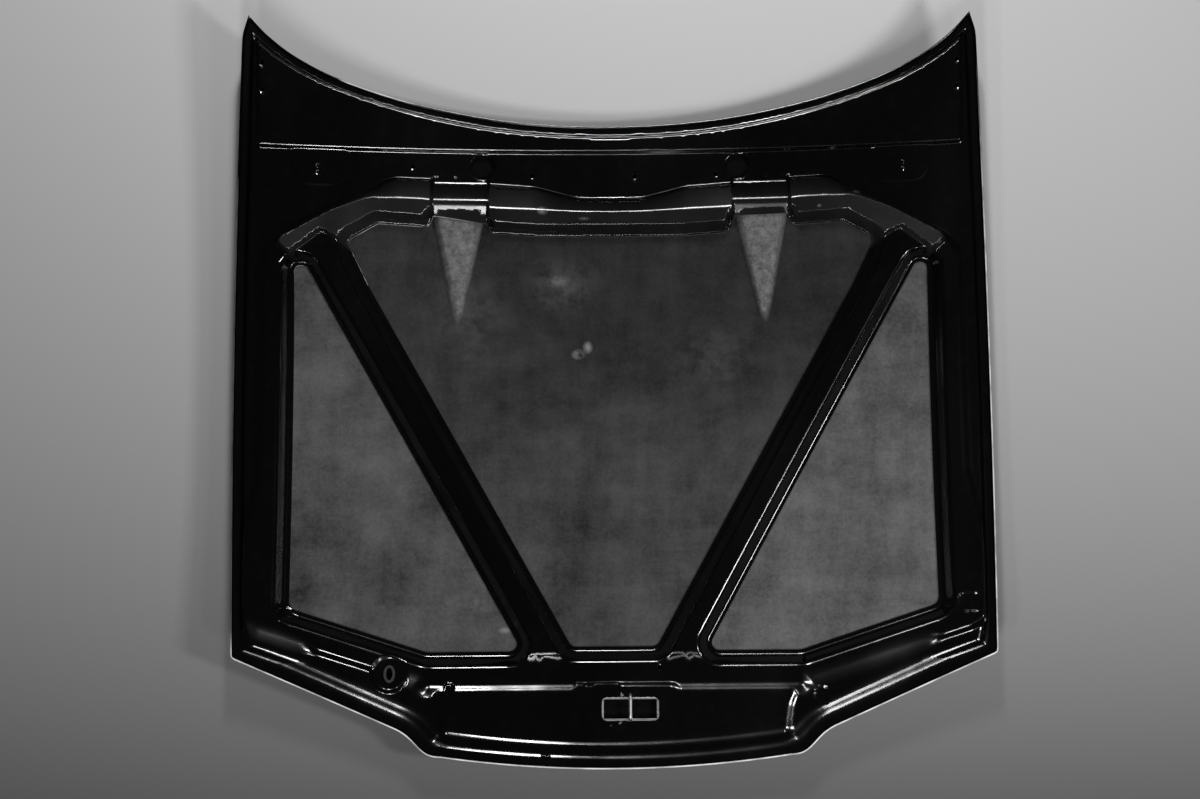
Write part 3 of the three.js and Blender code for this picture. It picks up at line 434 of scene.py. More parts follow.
def beamShare(points):
    # a low crisp wall at the foot line and a long slope to the top line; on the slanting ends one soft slope
    x = points[:, 0]
    share = mesa(points, loops["beamFoot"], loops["beamTop"])
    step = relief["beamStep"]
    straight = step * fillet(share, 0, relief["beamStepEnd"], 0.4, 0.5)
    straight = straight + (1 - step) * fillet(share, relief["beamSlopeStart"], 1, 0.1, 0.12)
    behind = ramp(points[:, 1], *relief["beamEndY"]) * ramp(np.abs(x), *relief["beamEndX"])
    return mix(straight, fillet(share, 0, 1, 0.6, 0.5), behind)


def frameTop(points):
    # raised areas pressed down to a flange along every edge, then the bridges, the seats and the small dents
    x, y = points[:, 0], points[:, 1]
    right = np.column_stack([np.abs(x), y])
    blend = ramp(y, *relief["beamBlend"])
    flange = mix(relief["windowFlange"], relief["beamFlange"], blend)
    wall = mix(relief["windowWall"], relief["beamWall"], blend)
    outerWall = mix(relief["sideWall"], relief["frontWall"], ramp(-y, *relief["frontWallY"]))
    outerWall = mix(outerWall, relief["hemWall"], ramp(y, *relief["hemWallY"]))
    outer, foot, shoulder = relief["outerFlange"], *relief["wallFillets"]
    sides = np.minimum(
        fillet(distanceTo(points, frameEdge), outer, outer + outerWall, 0.45, 0.45),
        fillet(distanceTo(right, triangle), flange, flange + wall, foot, shoulder))
    sides = np.minimum(sides, fillet(distanceTo(points, window), flange, flange + wall, foot, shoulder))
    low = panel["glue"] + panel["frame"]
    ridge = np.where(wedge(points) > 0, wedge(points) + low + relief["ridgeClear"], 0)
    height = np.maximum(mix(low, deck(points), sides), ridge)
    forward = fillet(-y, -bridge["crease"], -bridge["front"])
    toFront = mix(bridge["height"], wedgeShape["height"] + panel["glue"], forward)
    toRear = mix(bridge["height"], relief["lip"], fillet(y, bridge["crease"], bridge["rear"], 0.2, 0.2))
    over = np.where(y > bridge["crease"], toRear, toFront)
    inward = np.minimum(right[:, 0] - bridge["inner"], bridge["outer"] - right[:, 0])
    within = (y > relief["beamBlend"][1]) & (y < bridge["rear"] + bridge["wall"])
    height = mix(height, np.maximum(over, ridge), fillet(inward, 0, bridge["wall"]) * within)
    z = crown(x, y) + panel["skin"] + height
    for side in (-1, 1):
        behind = np.minimum(y - pad["y"], 0)
        out = outsideBox(x - side * pad["x"], behind, pad["halfX"], pad["halfY"], pad["radius"])
        share = 1 - fillet(out, 0, pad["blend"])
        share = share * (1 - fillet(y, relief["shelfY"] - 4, relief["shelfY"] + 4))
        z = mix(z, seatPlane(points, side * pad["x"], pad["y"], pad["height"]), share)
    out = outsideBox(x - latch["x"], y - latch["y"], latch["halfX"], latch["halfY"], latch["padRadius"])
    seat = seatPlane(points, latch["x"], latch["y"], relief["platform"])
    z = mix(z, seat, 1 - fillet(out, 0, latch["blend"]))
    out = np.hypot(x - propHole["x"], y - propHole["y"]) - propHole["padRadius"]
    seat = seatPlane(points, propHole["x"], propHole["y"], propHole["height"])
    z = mix(z, seat, 1 - fillet(out, 0, propHole["blend"]))
    return z + smallForms(x, y)


def smallForms(x, y):
    # dimples round the small holes, the drain holes' rolled edges, the pressed pockets and the weld lumps
    z = np.zeros(len(x))
    for holeX, holeY, radius in smallHoles:
        away = np.hypot(x - holeX, y - holeY)
        z -= dimple["depth"] * (1 - fillet(away, radius, radius + dimple["reach"], 0.5, 0.5))
    for side in (-1, 1):
        away = np.hypot(x - side * drain["x"], y - drain["y"]) - drain["radius"]
        z -= dimple["roll"] * (1 - fillet(away, -1, dimple["rollReach"], 0.5, 0.5))
    for atX, atY, halfX, halfY, radius, sink in pockets:
        z -= sink * (1 - fillet(outsideBox(x - atX, y - atY, halfX, halfY, radius), -2, 2, 0.5, 0.5))
    for atX, atY, radius, height in lumps:
        z += height * (1 - fillet(np.hypot(x - atX, y - atY), 0, radius, 0.5, 0.5))
    return z


# Meshes.


def toModel(points, z):
    place = np.column_stack([points[:, 0], points[:, 1] - middleY, z]) / 1000
    low, high = (np.array(corner) for corner in cadBox)
    return np.clip(place, low, high)


def makeMesh(name, vertices, faces, replaced):
    # faces is an array of corner indices, all with the same number of corners
    mesh = bpy.data.meshes.new(name)
    faces = np.asarray(faces, np.int32)
    mesh.vertices.add(len(vertices))
    mesh.vertices.foreach_set("co", np.asarray(vertices, np.float32).ravel())
    mesh.loops.add(faces.size)
    mesh.loops.foreach_set("vertex_index", faces.ravel())
    mesh.polygons.add(len(faces))
    mesh.polygons.foreach_set("loop_start", np.arange(0, faces.size, faces.shape[1], dtype=np.int32))
    mesh.polygons.foreach_set("use_smooth", np.ones(len(faces), bool))
    mesh.update(calc_edges=True)
    mesh.validate()
    piece = bpy.data.objects.new(name, mesh)
    bpy.context.scene.collection.objects.link(piece)
    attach(piece, "root")
    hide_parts(*replaced)
    return piece


def pointValue(piece, name, values):
    attribute = piece.data.attributes.new(name, "FLOAT", "POINT")
    attribute.data.foreach_set("value", np.asarray(values, np.float32))


def sharpen(piece, isSharp):
    # marks the edges whose two ends are both in the given set as sharp
    mesh = piece.data
    ends = np.empty(len(mesh.edges) * 2, np.int32)
    mesh.edges.foreach_get("vertices", ends)
    ends = ends.reshape(-1, 2)
    attribute = mesh.attributes.get("sharp_edge") or mesh.attributes.new("sharp_edge", "BOOLEAN", "EDGE")
    attribute.data.foreach_set("value", isSharp[ends].all(1))


def ringPoints(x, y, radiusX, radiusY, count):
    turn = (np.arange(count) + 0.5) / count * 2 * np.pi
    return np.column_stack([x + radiusX * np.cos(turn), y + radiusY * np.sin(turn)])


def boxLoop(x, y, halfX, halfY, radius, step):
    corners = [(x - halfX, y - halfY, radius), (x + halfX, y - halfY, radius),
               (x + halfX, y + halfY, radius), (x - halfX, y + halfY, radius)]
    return resample(roundedLine(corners, pieces=6), step)


def frameHoles():
    holes = [ringPoints(s * drain["x"], drain["y"], drain["radius"], drain["radius"], 64) for s in (-1, 1)]
    holes += [ringPoints(x, y, radius, radius, 16) for x, y, radius in smallHoles]
    holes.append(ringPoints(propHole["x"], propHole["y"], propHole["halfX"], propHole["halfY"], 40))
    holes.append(boxLoop(latch["x"], latch["y"], latch["width"] / 2, latch["depth"] / 2, latch["radius"], 3))
    return holes


# rows of mesh points beside each edge, as distances from it; nets as x from and to, y from and to, step
rows = {
    "rim": (1.0, 2.4, 5, 8, 11, 14, 18, 22, 25, 28, 31),
    "rimSlope": (33, 39, 45, 49, 53, 57, 61, 65, 69, 73, 77, 83, 89),
    "beam": (1.0, 3, 5, 7, 9, 11, 13, 15, 17),
    "outer": (1.0, 4, 8, 10, 12, 14, 16, 18, 20, 22, 24, 27, 31, 36, 42, 48),
    "raised": (-4, -1.5, 0, 1.5, 4, 7, 11), "shelf": (-13, -9, -6, -4, -2.5, -1, 0, 1, 2.5, 4, 6, 9, 13),
    "front": (-36, -28, -20, -15, -10, -8, -6, -4, -2, 0, 2), "bridge": (-1.5, 0.5, 2, 3.5, 5, 6.5, 8.5),
    "crease": (-9, -6, -3, 0, 3, 6), "pad": (-2, 0, 1.5, 3, 4.5, 6, 7.5, 9),
    "drain": (0.8, 1.6, 2.6, 3.6, 5, 8),
    "hole": (0.8, 1.7, 2.6, 4), "latch": (1.0, 2.5, 5), "prop": (0, 3, 6, 9, 12),
}
fineNets = [(-664, 664, 732, 925, 5.0), (528, 664, 726, 838, 2.8), (-664, -528, 726, 838, 2.8),
            (590, 690, 40, 130, 3.2), (-628, -576, 60, 100, 3), (300, 400, -130, -40, 3.2),
            (-470, -370, -80, 20, 3.5), (-28, 20, -134, -62, 1.8)]
broadNet = (-712, 713, -206, 1210, 8.6)
cellStride = 100003
spacing = {"betweenRows": 2.45, "fromEdge": 0.8, "netShare": 0.74}


def rowsAlong(x, y, distances):
    # rows of points along X, each at one distance from a place on Y
    return [np.column_stack([x, np.full(len(x), y + d)]) for d in distances]


def planRows():
    # rows of points that follow every edge, crease and hole
    lines = []
    for loop, rim in ((triangle, rimLoop), (mirrored(triangle), mirrored(rimLoop))):
        lines += [offsetLoop(loop, d) for d in rows["rim"]]
        lines += [offsetLoop(resample(rim, 6), d) for d in rows["rimSlope"]]
    lines += [offsetLoop(window, d) for d in rows["rim"]]
    for row in [offsetLoop(window, d) for d in rows["beam"]]:
        lines.append(row[row[:, 1] > relief["beamBlend"][0]])
    lines += [offsetLoop(frameEdge, -d) for d in rows["outer"]]
    for loop in loops.values():
        lines += [offsetLoop(loop, d) if d else loop for d in rows["raised"]]
    lines += rowsAlong(np.arange(-664, 665, 6.0), relief["shelfY"], rows["shelf"])
    lines += rowsAlong(np.arange(-380, 381, 6.0), relief["frontBeamY"], rows["front"])
    for side in (-1, 1):
        y = np.arange(800, 912, 4.0)
        for edge, way in ((bridge["inner"], 1), (bridge["outer"], -1)):
            places = [side * (edge + way * d) for d in rows["bridge"]]
            lines += [np.column_stack([np.full(len(y), place), y]) for place in places]
        for d in rows["pad"]:
            grown = (pad["halfX"] + d, pad["halfY"] + d, pad["radius"] + d)
            ring = boxLoop(side * pad["x"], pad["y"], *grown, 5)
            lines.append(ring[ring[:, 1] < pad["y"] + 20])
        for d in rows["drain"]:
            radius = drain["radius"] + d
            lines.append(ringPoints(side * drain["x"], drain["y"], radius, radius, 64))
        middle, half = side * bridge["middle"], bridge["creaseHalf"]
        lines += rowsAlong(np.arange(middle - half, middle + half + 1, 5.0), bridge["crease"], rows["crease"])
    for x, y, radius in smallHoles:
        lines += [ringPoints(x, y, radius + d, radius + d, 16) for d in rows["hole"]]
    for d in rows["latch"]:
        grown = (latch["width"] / 2 + d, latch["depth"] / 2 + d, latch["radius"] + d)
        lines.append(boxLoop(latch["x"], latch["y"], *grown, 3))
    for d in rows["prop"]:
        radius = propHole["padRadius"] + d
        lines.append(ringPoints(propHole["x"], propHole["y"], radius, radius, 48))
    return np.vstack(lines)


def netPoints(x0, x1, y0, y1, step):
    return np.stack(np.meshgrid(np.arange(x0, x1, step), np.arange(y0, y1, step)), -1).reshape(-1, 2)


def cellKeys(places):
    # one whole number for each cell of a net, from its column and its row
    cells = places.astype(np.int64)
    return cells[:, 0] * cellStride + cells[:, 1]


def thinned(points, clear):
    # keeps the first point in each cell of a fine net
    return points[np.sort(np.unique(cellKeys(np.round(points / clear)), return_index=True)[1])]


def freeOf(points, taken, net):
    # the points whose cell in a net, and the cells beside it, hold none of those already taken
    used = np.floor(taken / net)
    around = [used + (i, j) for i in (-1, 0, 1) for j in (-1, 0, 1) if abs(i) + abs(j) < 2]
    return points[~np.isin(cellKeys(np.floor(points / net)), cellKeys(np.vstack(around)))]


def surfaceNormals(points, top, step=0.4):
    # the height's slope along X and along Y, by a short step to each side
    slopes = [(frameTop(points + (dx, dy)) - top) / step for dx, dy in ((step, 0), (0, step))]
    return unit(np.column_stack([-slopes[0], -slopes[1], np.ones(len(points))]))


def setNormals(piece, vertexNormals, ownFaces):
    # gives each corner the surface's normal, and the faces of the cut edges their own
    mesh = piece.data
    faces = np.empty(len(mesh.loops), np.int32)
    mesh.loops.foreach_get("vertex_index", faces)
    flat = np.empty(len(mesh.polygons) * 3, np.float32)
    mesh.polygons.foreach_get("normal", flat)
    corners = vertexNormals[faces].reshape(-1, 3, 3)
    corners[ownFaces] = flat.reshape(-1, 1, 3)[ownFaces]
    mesh.normals_split_custom_set(corners.reshape(-1, 3).tolist())


def paintedCutEdgeHighlight(points):
    # where a painted highlight lies on the cut edge: round the latch, along the window's rear and at the left
    # triangle's top
    x, y = points[:, 0], points[:, 1]
    halfX, halfY = latch["width"] / 2, latch["depth"] / 2
    atLatch = outsideBox(x - latch["x"], y - latch["y"], halfX, halfY, latch["radius"]) < 1.5
    atWindow = (distanceTo(points, window) < 0.5) * ramp(x, -560, -480) * ramp(-x, 190, 300) * (y > 700)
    atTriangle = (distanceTo(points, mirrored(triangle)) < 0.5) * ramp(y, 560, 740)
    atBeam = (distanceTo(points, window) < 0.5) * (y > 790) * 0.6
    return np.maximum.reduce([atLatch * 1.0, atWindow * 0.95, atTriangle * 0.8, atBeam])


def buildFrame():
    fixed = [frameEdge, triangle, mirrored(triangle), window] + frameHoles()
    starts = np.cumsum([0] + [len(line) for line in fixed])
    edges = np.vstack([np.column_stack([np.arange(a, b), np.r_[np.arange(a + 1, b), a]])
                       for a, b in zip(starts[:-1], starts[1:])])
    loose = thinned(planRows(), spacing["betweenRows"])

    def inMaterial(points):
        good = inside(points, frameEdge)
        for loop in fixed[1:]:
            good &= ~inside(points, loop)
        return good

    loose = loose[inMaterial(loose)]
    loose = loose[distanceTo(loose, frameEdge) > spacing["fromEdge"]]
    points = np.vstack(fixed + [loose])
    for net in fineNets[1:] + fineNets[:1] + [broadNet]:
        added = freeOf(netPoints(*net), points, net[-1] * spacing["netShare"])
        points = np.vstack([points, added[inMaterial(added)]])
    out = delaunay_2d_cdt(points.tolist(), edges.tolist(), [], 0, 1e-4)
    points = np.array([tuple(p) for p in out[0]])
    triangles = np.array([tuple(f) for f in out[2]], np.int64)
    middle = points[triangles].mean(1)
    triangles = triangles[inMaterial(middle)]
    used, triangles = np.unique(triangles, return_inverse=True)
    triangles = triangles.reshape(-1, 3)
    points = points[used]
    a, b, c = (points[triangles[:, k]] for k in range(3))
    area = (b[:, 0] - a[:, 0]) * (c[:, 1] - a[:, 1]) - (b[:, 1] - a[:, 1]) * (c[:, 0] - a[:, 0])
    triangles[area < 0] = triangles[area < 0][:, ::-1]
    top = frameTop(points)
    count = len(points)
    sides = np.vstack([triangles[:, [0, 1]], triangles[:, [1, 2]], triangles[:, [2, 0]]])
    key = np.sort(sides, 1)
    _, index, times = np.unique(key[:, 0] * count + key[:, 1], return_index=True, return_counts=True)
    rim = sides[index[times == 1]]
    walls = np.vstack([np.column_stack([rim[:, 0], rim[:, 0] + count, rim[:, 1] + count]),
                       np.column_stack([rim[:, 0], rim[:, 1] + count, rim[:, 1]])])
    faces = np.vstack([triangles, triangles[:, ::-1] + count, walls])
    vertices = np.vstack([toModel(points, top), toModel(points, top - panel["frame"])])
    piece = makeMesh("innerFrame", vertices, faces, ["inner_frame"])
    onRim = np.zeros(2 * count, bool)
    onRim[rim.ravel()] = True
    onRim[rim.ravel() + count] = True
    sharpen(piece, onRim)
    normals = surfaceNormals(points, top)
    own = np.zeros(len(faces), bool)
    own[2 * len(triangles):] = True
    setNormals(piece, np.vstack([normals, -normals]), own)
    # the rim faces of the cut edges carry a painted highlight where the mask is set
    pointValue(piece, "paintedEdgeHighlight", onRim * np.tile(paintedCutEdgeHighlight(points), 2))
    # dust and painted sheen on the raised cross beam, stronger towards its slanting ends
    raised = mesa(points, loops["beamFoot"], loops["beamTop"])
    ends = 1 + 0.9 * ramp(np.abs(points[:, 0]), 380, 560)
    pointValue(piece, "dust", np.tile(ramp(raised, 0.1, 0.9) * ends, 2))
    print("inner frame:", len(vertices), "points,", len(faces), "triangles")
    return piece


skinGrid = {"across": 200, "along": 160, "inset": 2.4}


def densePlaces(count, low, high, focus, strength):
    # shares from 0 to 1 that lie closer together where the density is raised
    fine = np.linspace(low, high, 2000)
    density = 1 + sum(strength * np.exp(-((fine - at) / width) ** 4) for at, width in focus)
    along = np.concatenate([[0], np.cumsum((density[1:] + density[:-1]) / 2)])
    return np.interp(np.linspace(0, along[-1], count + 1), along, (fine - low) / (high - low))


def skinPlan():
    # a Coons patch: the four edge lines blended across, less the blend of the four corners
    u = densePlaces(skinGrid["across"], -700, 700, [(-292, 66), (292, 66)], 4.0)
    v = densePlaces(skinGrid["along"], 0, 1209, [(742, 130)], 3.0)

    def at(line, shares):
        even = resample(line, 2, closed=False)
        return np.column_stack([np.interp(shares, np.linspace(0, 1, len(even)), even[:, k]) for k in (0, 1)])

    front = at(np.vstack([frontHalf * (-1, 1), frontHalf[::-1][1:]]), u)
    rear = at(np.vstack([mirrored(rearHalf), rearHalf[1:]]), u)
    right = at(flankHalf[::-1], v)
    left = right * (-1, 1)
    uu, vv = u[None, :, None], v[:, None, None]
    corners = ((1 - vv) * ((1 - uu) * front[0] + uu * front[-1]) + vv * ((1 - uu) * rear[0] + uu * rear[-1]))
    patch = (1 - vv) * front[None] + vv * rear[None]
    patch = patch + (1 - uu) * left[:, None] + uu * right[:, None] - corners
    middle = np.array([0, middleY])
    reach = np.linalg.norm(patch - middle, axis=-1, keepdims=True)
    edge = np.zeros(patch.shape[:2], bool)
    edge[[0, -1]] = True
    edge[:, [0, -1]] = True
    patch = np.where(edge[..., None], patch - (patch - middle) / reach * skinGrid["inset"], patch)
    return patch


def buildSkin():
    patch = skinPlan()
    rows, columns = patch.shape[:2]
    points = patch.reshape(-1, 2)
    lift = wedge(points)
    low = crown(points[:, 0], points[:, 1]) + lift
    index = np.arange(rows * columns).reshape(rows, columns)
    quads = np.stack([index[:-1, :-1], index[:-1, 1:], index[1:, 1:], index[1:, :-1]], -1).reshape(-1, 4)
    count = rows * columns
    rim = np.concatenate([index[0, :-1], index[:-1, -1], index[-1, :0:-1], index[:0:-1, 0]])
    after = np.roll(rim, -1)
    walls = np.column_stack([rim, rim + count, after + count, after])
    flange, flangeFaces = returnFlange(2 * count)
    vertices = np.vstack([toModel(points, low + panel["skin"]), toModel(points, low), flange])
    faces = np.vstack([quads, quads[:, ::-1] + count, walls, flangeFaces])
    piece = makeMesh("outerSkin", vertices, faces, ["outer_skin"])
    # a painted highlight along the return flange's crest: strongest at the front and on the right flank,
    # faint on the left, and on one stretch of the rear
    crest = np.zeros(len(vertices))
    heights = np.tile([h for _, h in flangeProfile], len(outlineFine))
    depths = np.tile([d for d, _ in flangeProfile], len(outlineFine))
    crest[2 * count:] = (heights > panel["returnHeight"] - 1.1) & (depths < 2.6)
    x, y = flange[:, 0] * 1000, flange[:, 1] * 1000 + middleY
    toFront, toRight = ramp(-y, -60, 0), 0.8 * ramp(x, 640, 690) * ramp(-y, -1120, -760)
    toLeft = 0.12 * ramp(-x, 640, 690) * (y < 900)
    atRear = (y > 1000) * ramp(x, -520, -500) * ramp(-x, 370, 400)
    crest[2 * count:] *= np.maximum.reduce([toFront, toRight, toLeft, atRear])
    pointValue(piece, "paintedEdgeHighlight", crest)
    for name, values in (("toneAndShade", laminateToneAndShade(points)), ("ridge", lift / wedgeShape["height"])):
        whole = np.zeros(len(vertices))
        whole[:count] = values
        pointValue(piece, name, whole)
    piece.data.materials.append(makeLaminate())
    piece.data.materials.append(makeEdgeCoat())
    coated = np.ones(len(faces), np.int32)
    coated[:len(quads)] = 0
    piece.data.polygons.foreach_set("material_index", coated)
    print("outer skin:", len(vertices), "points,", len(faces), "faces")
    return piece


def laminateToneAndShade(points):
    # how light the bare laminate is: darker at the window's rear, lightest at the right, and 0 under the
    # frame, where the black is painted shade
    x, y = points[:, 0], points[:, 1]
    inWindow = inside(points, offsetLoop(window, 10))
    left, right = (inside(points * (side, 1), offsetLoop(triangle, 10)) for side in (-1, 1))
    middle = mix(laminate["windowFront"], laminate["windowRear"], fillet(y, 120, 760, 0.5, 0.5))
    middle = middle * (1 + 0.35 * ramp(-x, 120, 420) * ramp(y, 450, 700))
    return np.where(inWindow, middle, np.where(left, laminate["left"], np.where(right, laminate["right"], 0)))


# section of the return flange: distance in from the edge, and height above the outer face
flangeProfile = [(3.0, 1.5), (2.0, 0.0), (0.9, 0.3), (0.25, 1.0), (0.0, 2.4), (0.0, 12.0), (0.2, 12.6),
                 (0.7, 13.0), (1.5, 13.0), (2.0, 13.0), (2.4, 13.0), (2.8, 12.6), (3.0, 12.0), (3.0, 5.0)]


def returnFlange(first):
    # the section carried once round the outline, turned to face along each point's normal
    loop = outlineFine
    after = np.roll(loop, -1, 0)
    along = unit(after - np.roll(loop, 1, 0))
    clockwise = 1 if (loop[:, 0] * after[:, 1] - after[:, 0] * loop[:, 1]).sum() > 0 else -1
    inward = np.column_stack([-along[:, 1], along[:, 0]]) * clockwise
    profile = np.array(flangeProfile)
    plan = loop[:, None] + inward[:, None] * profile[None, :, :1]
    z = crown(loop[:, 0], loop[:, 1])[:, None] + profile[None, :, 1]
    rows, columns = len(loop), len(profile)
    index = first + np.arange(rows * columns).reshape(rows, columns)
    nextRow, nextColumn = np.roll(index, -1, 0), np.roll(index, -1, 1)
    faces = np.stack([index, nextColumn, np.roll(nextRow, -1, 1), nextRow], -1).reshape(-1, 4)
    if clockwise > 0:
        faces = faces[:, ::-1]
    return toModel(plan.reshape(-1, 2), z.ravel()), faces


# Materials.


class Socket:
    # a shader value that can be added, multiplied and so on with numbers or other values
    def __init__(self, shader, output):
        self.shader, self.output = shader, output

    def sum(self, operation, a, b):
        return self.shader.node("ShaderNodeMath", {"operation": operation}, {0: a, 1: b})

    def __add__(self, other):
        return self.sum("ADD", self, other)

    def __sub__(self, other):
        return self.sum("SUBTRACT", self, other)

    def __rsub__(self, other):
        return self.sum("SUBTRACT", other, self)

    def __mul__(self, other):
        return self.sum("MULTIPLY", self, other)

    def __truediv__(self, other):
        return self.sum("DIVIDE", self, other)

    __radd__ = __add__
    __rmul__ = __mul__


class Shader:
    def __init__(self, name):
        self.material = bpy.data.materials.new(name)
        self.material.use_nodes = True
        self.tree = self.material.node_tree
        self.tree.nodes.clear()
        self.place = self.node("ShaderNodeTexCoord", out="Object")

    def node(self, kind, settings=None, sockets=None, out=0):
        made = self.tree.nodes.new(kind)
        for key, value in (settings or {}).items():
            setattr(made, key, value)
        for key, value in (sockets or {}).items():
            if isinstance(value, Socket):
                self.tree.links.new(value.output, made.inputs[key])
            else:
                made.inputs[key].default_value = value
        return Socket(self, made.outputs[out])

    def attribute(self, name):
        return self.node("ShaderNodeAttribute", {"attribute_name": name}, out="Fac")

    def noise(self, scale, detail=3.0, stretch=(1, 1, 1), at=(0, 0, 0), rough=0.5):
        where = self.node("ShaderNodeMapping", {}, {"Vector": self.place, "Scale": stretch, "Location": at})
        sockets = {"Vector": where, "Scale": scale, "Detail": detail, "Roughness": rough}
        return self.node("ShaderNodeTexNoise", {}, sockets, "Fac")

    def band(self, scale, direction, distortion=0.0):
        settings = {"wave_type": "BANDS", "bands_direction": direction}
        sockets = {"Vector": self.place, "Scale": scale, "Distortion": distortion, "Detail Scale": 4.0}
        return self.node("ShaderNodeTexWave", settings, sockets, "Fac")

    def level(self, value, low, high):
        # stretches the part of a value between two bounds over 0 to 1
        sockets = {"Value": value, "From Min": low, "From Max": high}
        return self.node("ShaderNodeMapRange", {"clamp": True}, sockets)

    def blend(self, share, a, b):
        settings = {"data_type": "RGBA", "clamp_factor": True}
        return self.node("ShaderNodeMix", settings, {"Factor": share, 6: a, 7: b}, out=2)

    def spot(self, x, y, radiusX, radiusY):
        # 1 at a place on the plan and 0 outside an oval round it
        scale = (1000 / radiusX, 1000 / radiusY, 0.0)
        at = (-x / radiusX, -(y - middleY) / radiusY, 0.0)
        where = self.node("ShaderNodeMapping", {}, {"Vector": self.place, "Scale": scale, "Location": at})
        away = self.node("ShaderNodeVectorMath", {"operation": "LENGTH"}, {0: where}, "Value")
        return self.level(away, 1.0, 0.15)

    def bump(self, height, distance, under=None):
        sockets = {"Height": height, "Distance": distance, "Strength": 1.0}
        if under:
            sockets["Normal"] = under
        return self.node("ShaderNodeBump", {}, sockets)

    def finish(self, **sockets):
        named = {key.replace("_", " "): value for key, value in sockets.items()}
        surface = self.node("ShaderNodeBsdfPrincipled", {}, named)
        output = self.tree.nodes.new("ShaderNodeOutputMaterial")
        self.tree.links.new(surface.output, output.inputs["Surface"])
        return self.material


def grey(level):
    return (level, level, level, 1)


# edge is the colour of the painted highlight on the frame's cut edges
lacquer = {"black": 0.0008, "dust": 0.0028, "beamDustAndSheen": 0.0095, "edge": 0.75,
           "roughness": 0.085, "smear": 0.11, "wave": 0.0007, "peel": 0.00001, "drip": 0.16,
           "drips": [(-131, 844, 12, 10, 0.9), (-52, 828, 14, 4, 0.35), (470, 872, 9, 5, 0.5),
                     (398, 845, 5, 4, 0.5)]}


def makeLacquer():
    s = Shader("blackGelcoat")
    dust = s.level(s.noise(38, 6.0, rough=0.65), 0.52, 0.8)
    smear = s.level(s.noise(5, 4.0, stretch=(1, 0.35, 1)), 0.35, 0.75)
    base = s.blend(dust * 0.6, grey(lacquer["black"]), grey(lacquer["dust"]))
    # dust and painted sheen on the raised beam, where the dust attribute is set
    settledDustAndSheen = s.attribute("dust") * (0.25 + 0.75 * s.level(s.noise(11, 5.0, rough=0.6), 0.25, 0.75))
    base = s.blend(settledDustAndSheen * 0.5, base, grey(lacquer["beamDustAndSheen"] * 2))
    for x, y, rx, ry, share in lacquer["drips"]:
        ragged = s.level(s.noise(90, 3.0), 0.3, 0.5)
        base = s.blend(s.spot(x, y, rx, ry) * share * ragged, base, grey(lacquer["drip"]))
    # a painted highlight on the cut edges, paler and rougher, broken up by noise
    squared = s.attribute("paintedEdgeHighlight") * s.attribute("paintedEdgeHighlight")
    pale = squared * squared * s.level(s.noise(70, 3.0), 0.25, 0.5)
    base = s.blend(pale, base, grey(lacquer["edge"]))
    rough = lacquer["roughness"] + smear * lacquer["smear"] + s.attribute("dust") * 0.06 + pale * 0.3
    wave = s.bump(s.noise(9, 2.0), lacquer["wave"])
    normal = s.bump(s.noise(420, 1.0), lacquer["peel"], under=wave)
    return s.finish(Base_Color=base, Roughness=rough, Normal=normal, IOR=1.5)


def makeEdgeCoat():
    # the outer face and the return flange, black, with a painted highlight along the flange's crest
    s = Shader("blackEdgeCoat")
    paintedCrestHighlight = s.attribute("paintedEdgeHighlight") * (0.45 + 0.55 * s.level(s.noise(26, 4.0), 0.35, 0.6))
    base = s.blend(s.level(s.noise(40, 5.0), 0.5, 0.8), grey(lacquer["black"]), grey(lacquer["dust"]))
    base = s.blend(paintedCrestHighlight, base, grey(laminate["edge"]))
    return s.finish(Base_Color=base, Roughness=0.1 + paintedCrestHighlight * 0.6, Normal=s.bump(s.noise(300, 2.0), 0.00001))


# edge is the colour of the painted highlight along the return flange's crest
laminate = {"windowFront": 0.045, "windowRear": 0.018, "left": 0.060, "right": 0.078, "full": 0.16,
            "stain": 0.22, "wedge": 0.095, "fleck": 0.21, "edge": 0.62, "contrast": 1.7,
            "stains": [(-64, 573, 15, 12, 0.9), (-46, 586, 11, 14, 0.8), (-92, 705, 90, 70, 0.16),
                       (-105, 715, 30, 14, 0.3), (-200, 47, 20, 8, 0.8), (-266, 94, 60, 24, 0.25),
                       (-270, 640, 90, 120, 0.10), (190, 560, 120, 90, 0.10)]}


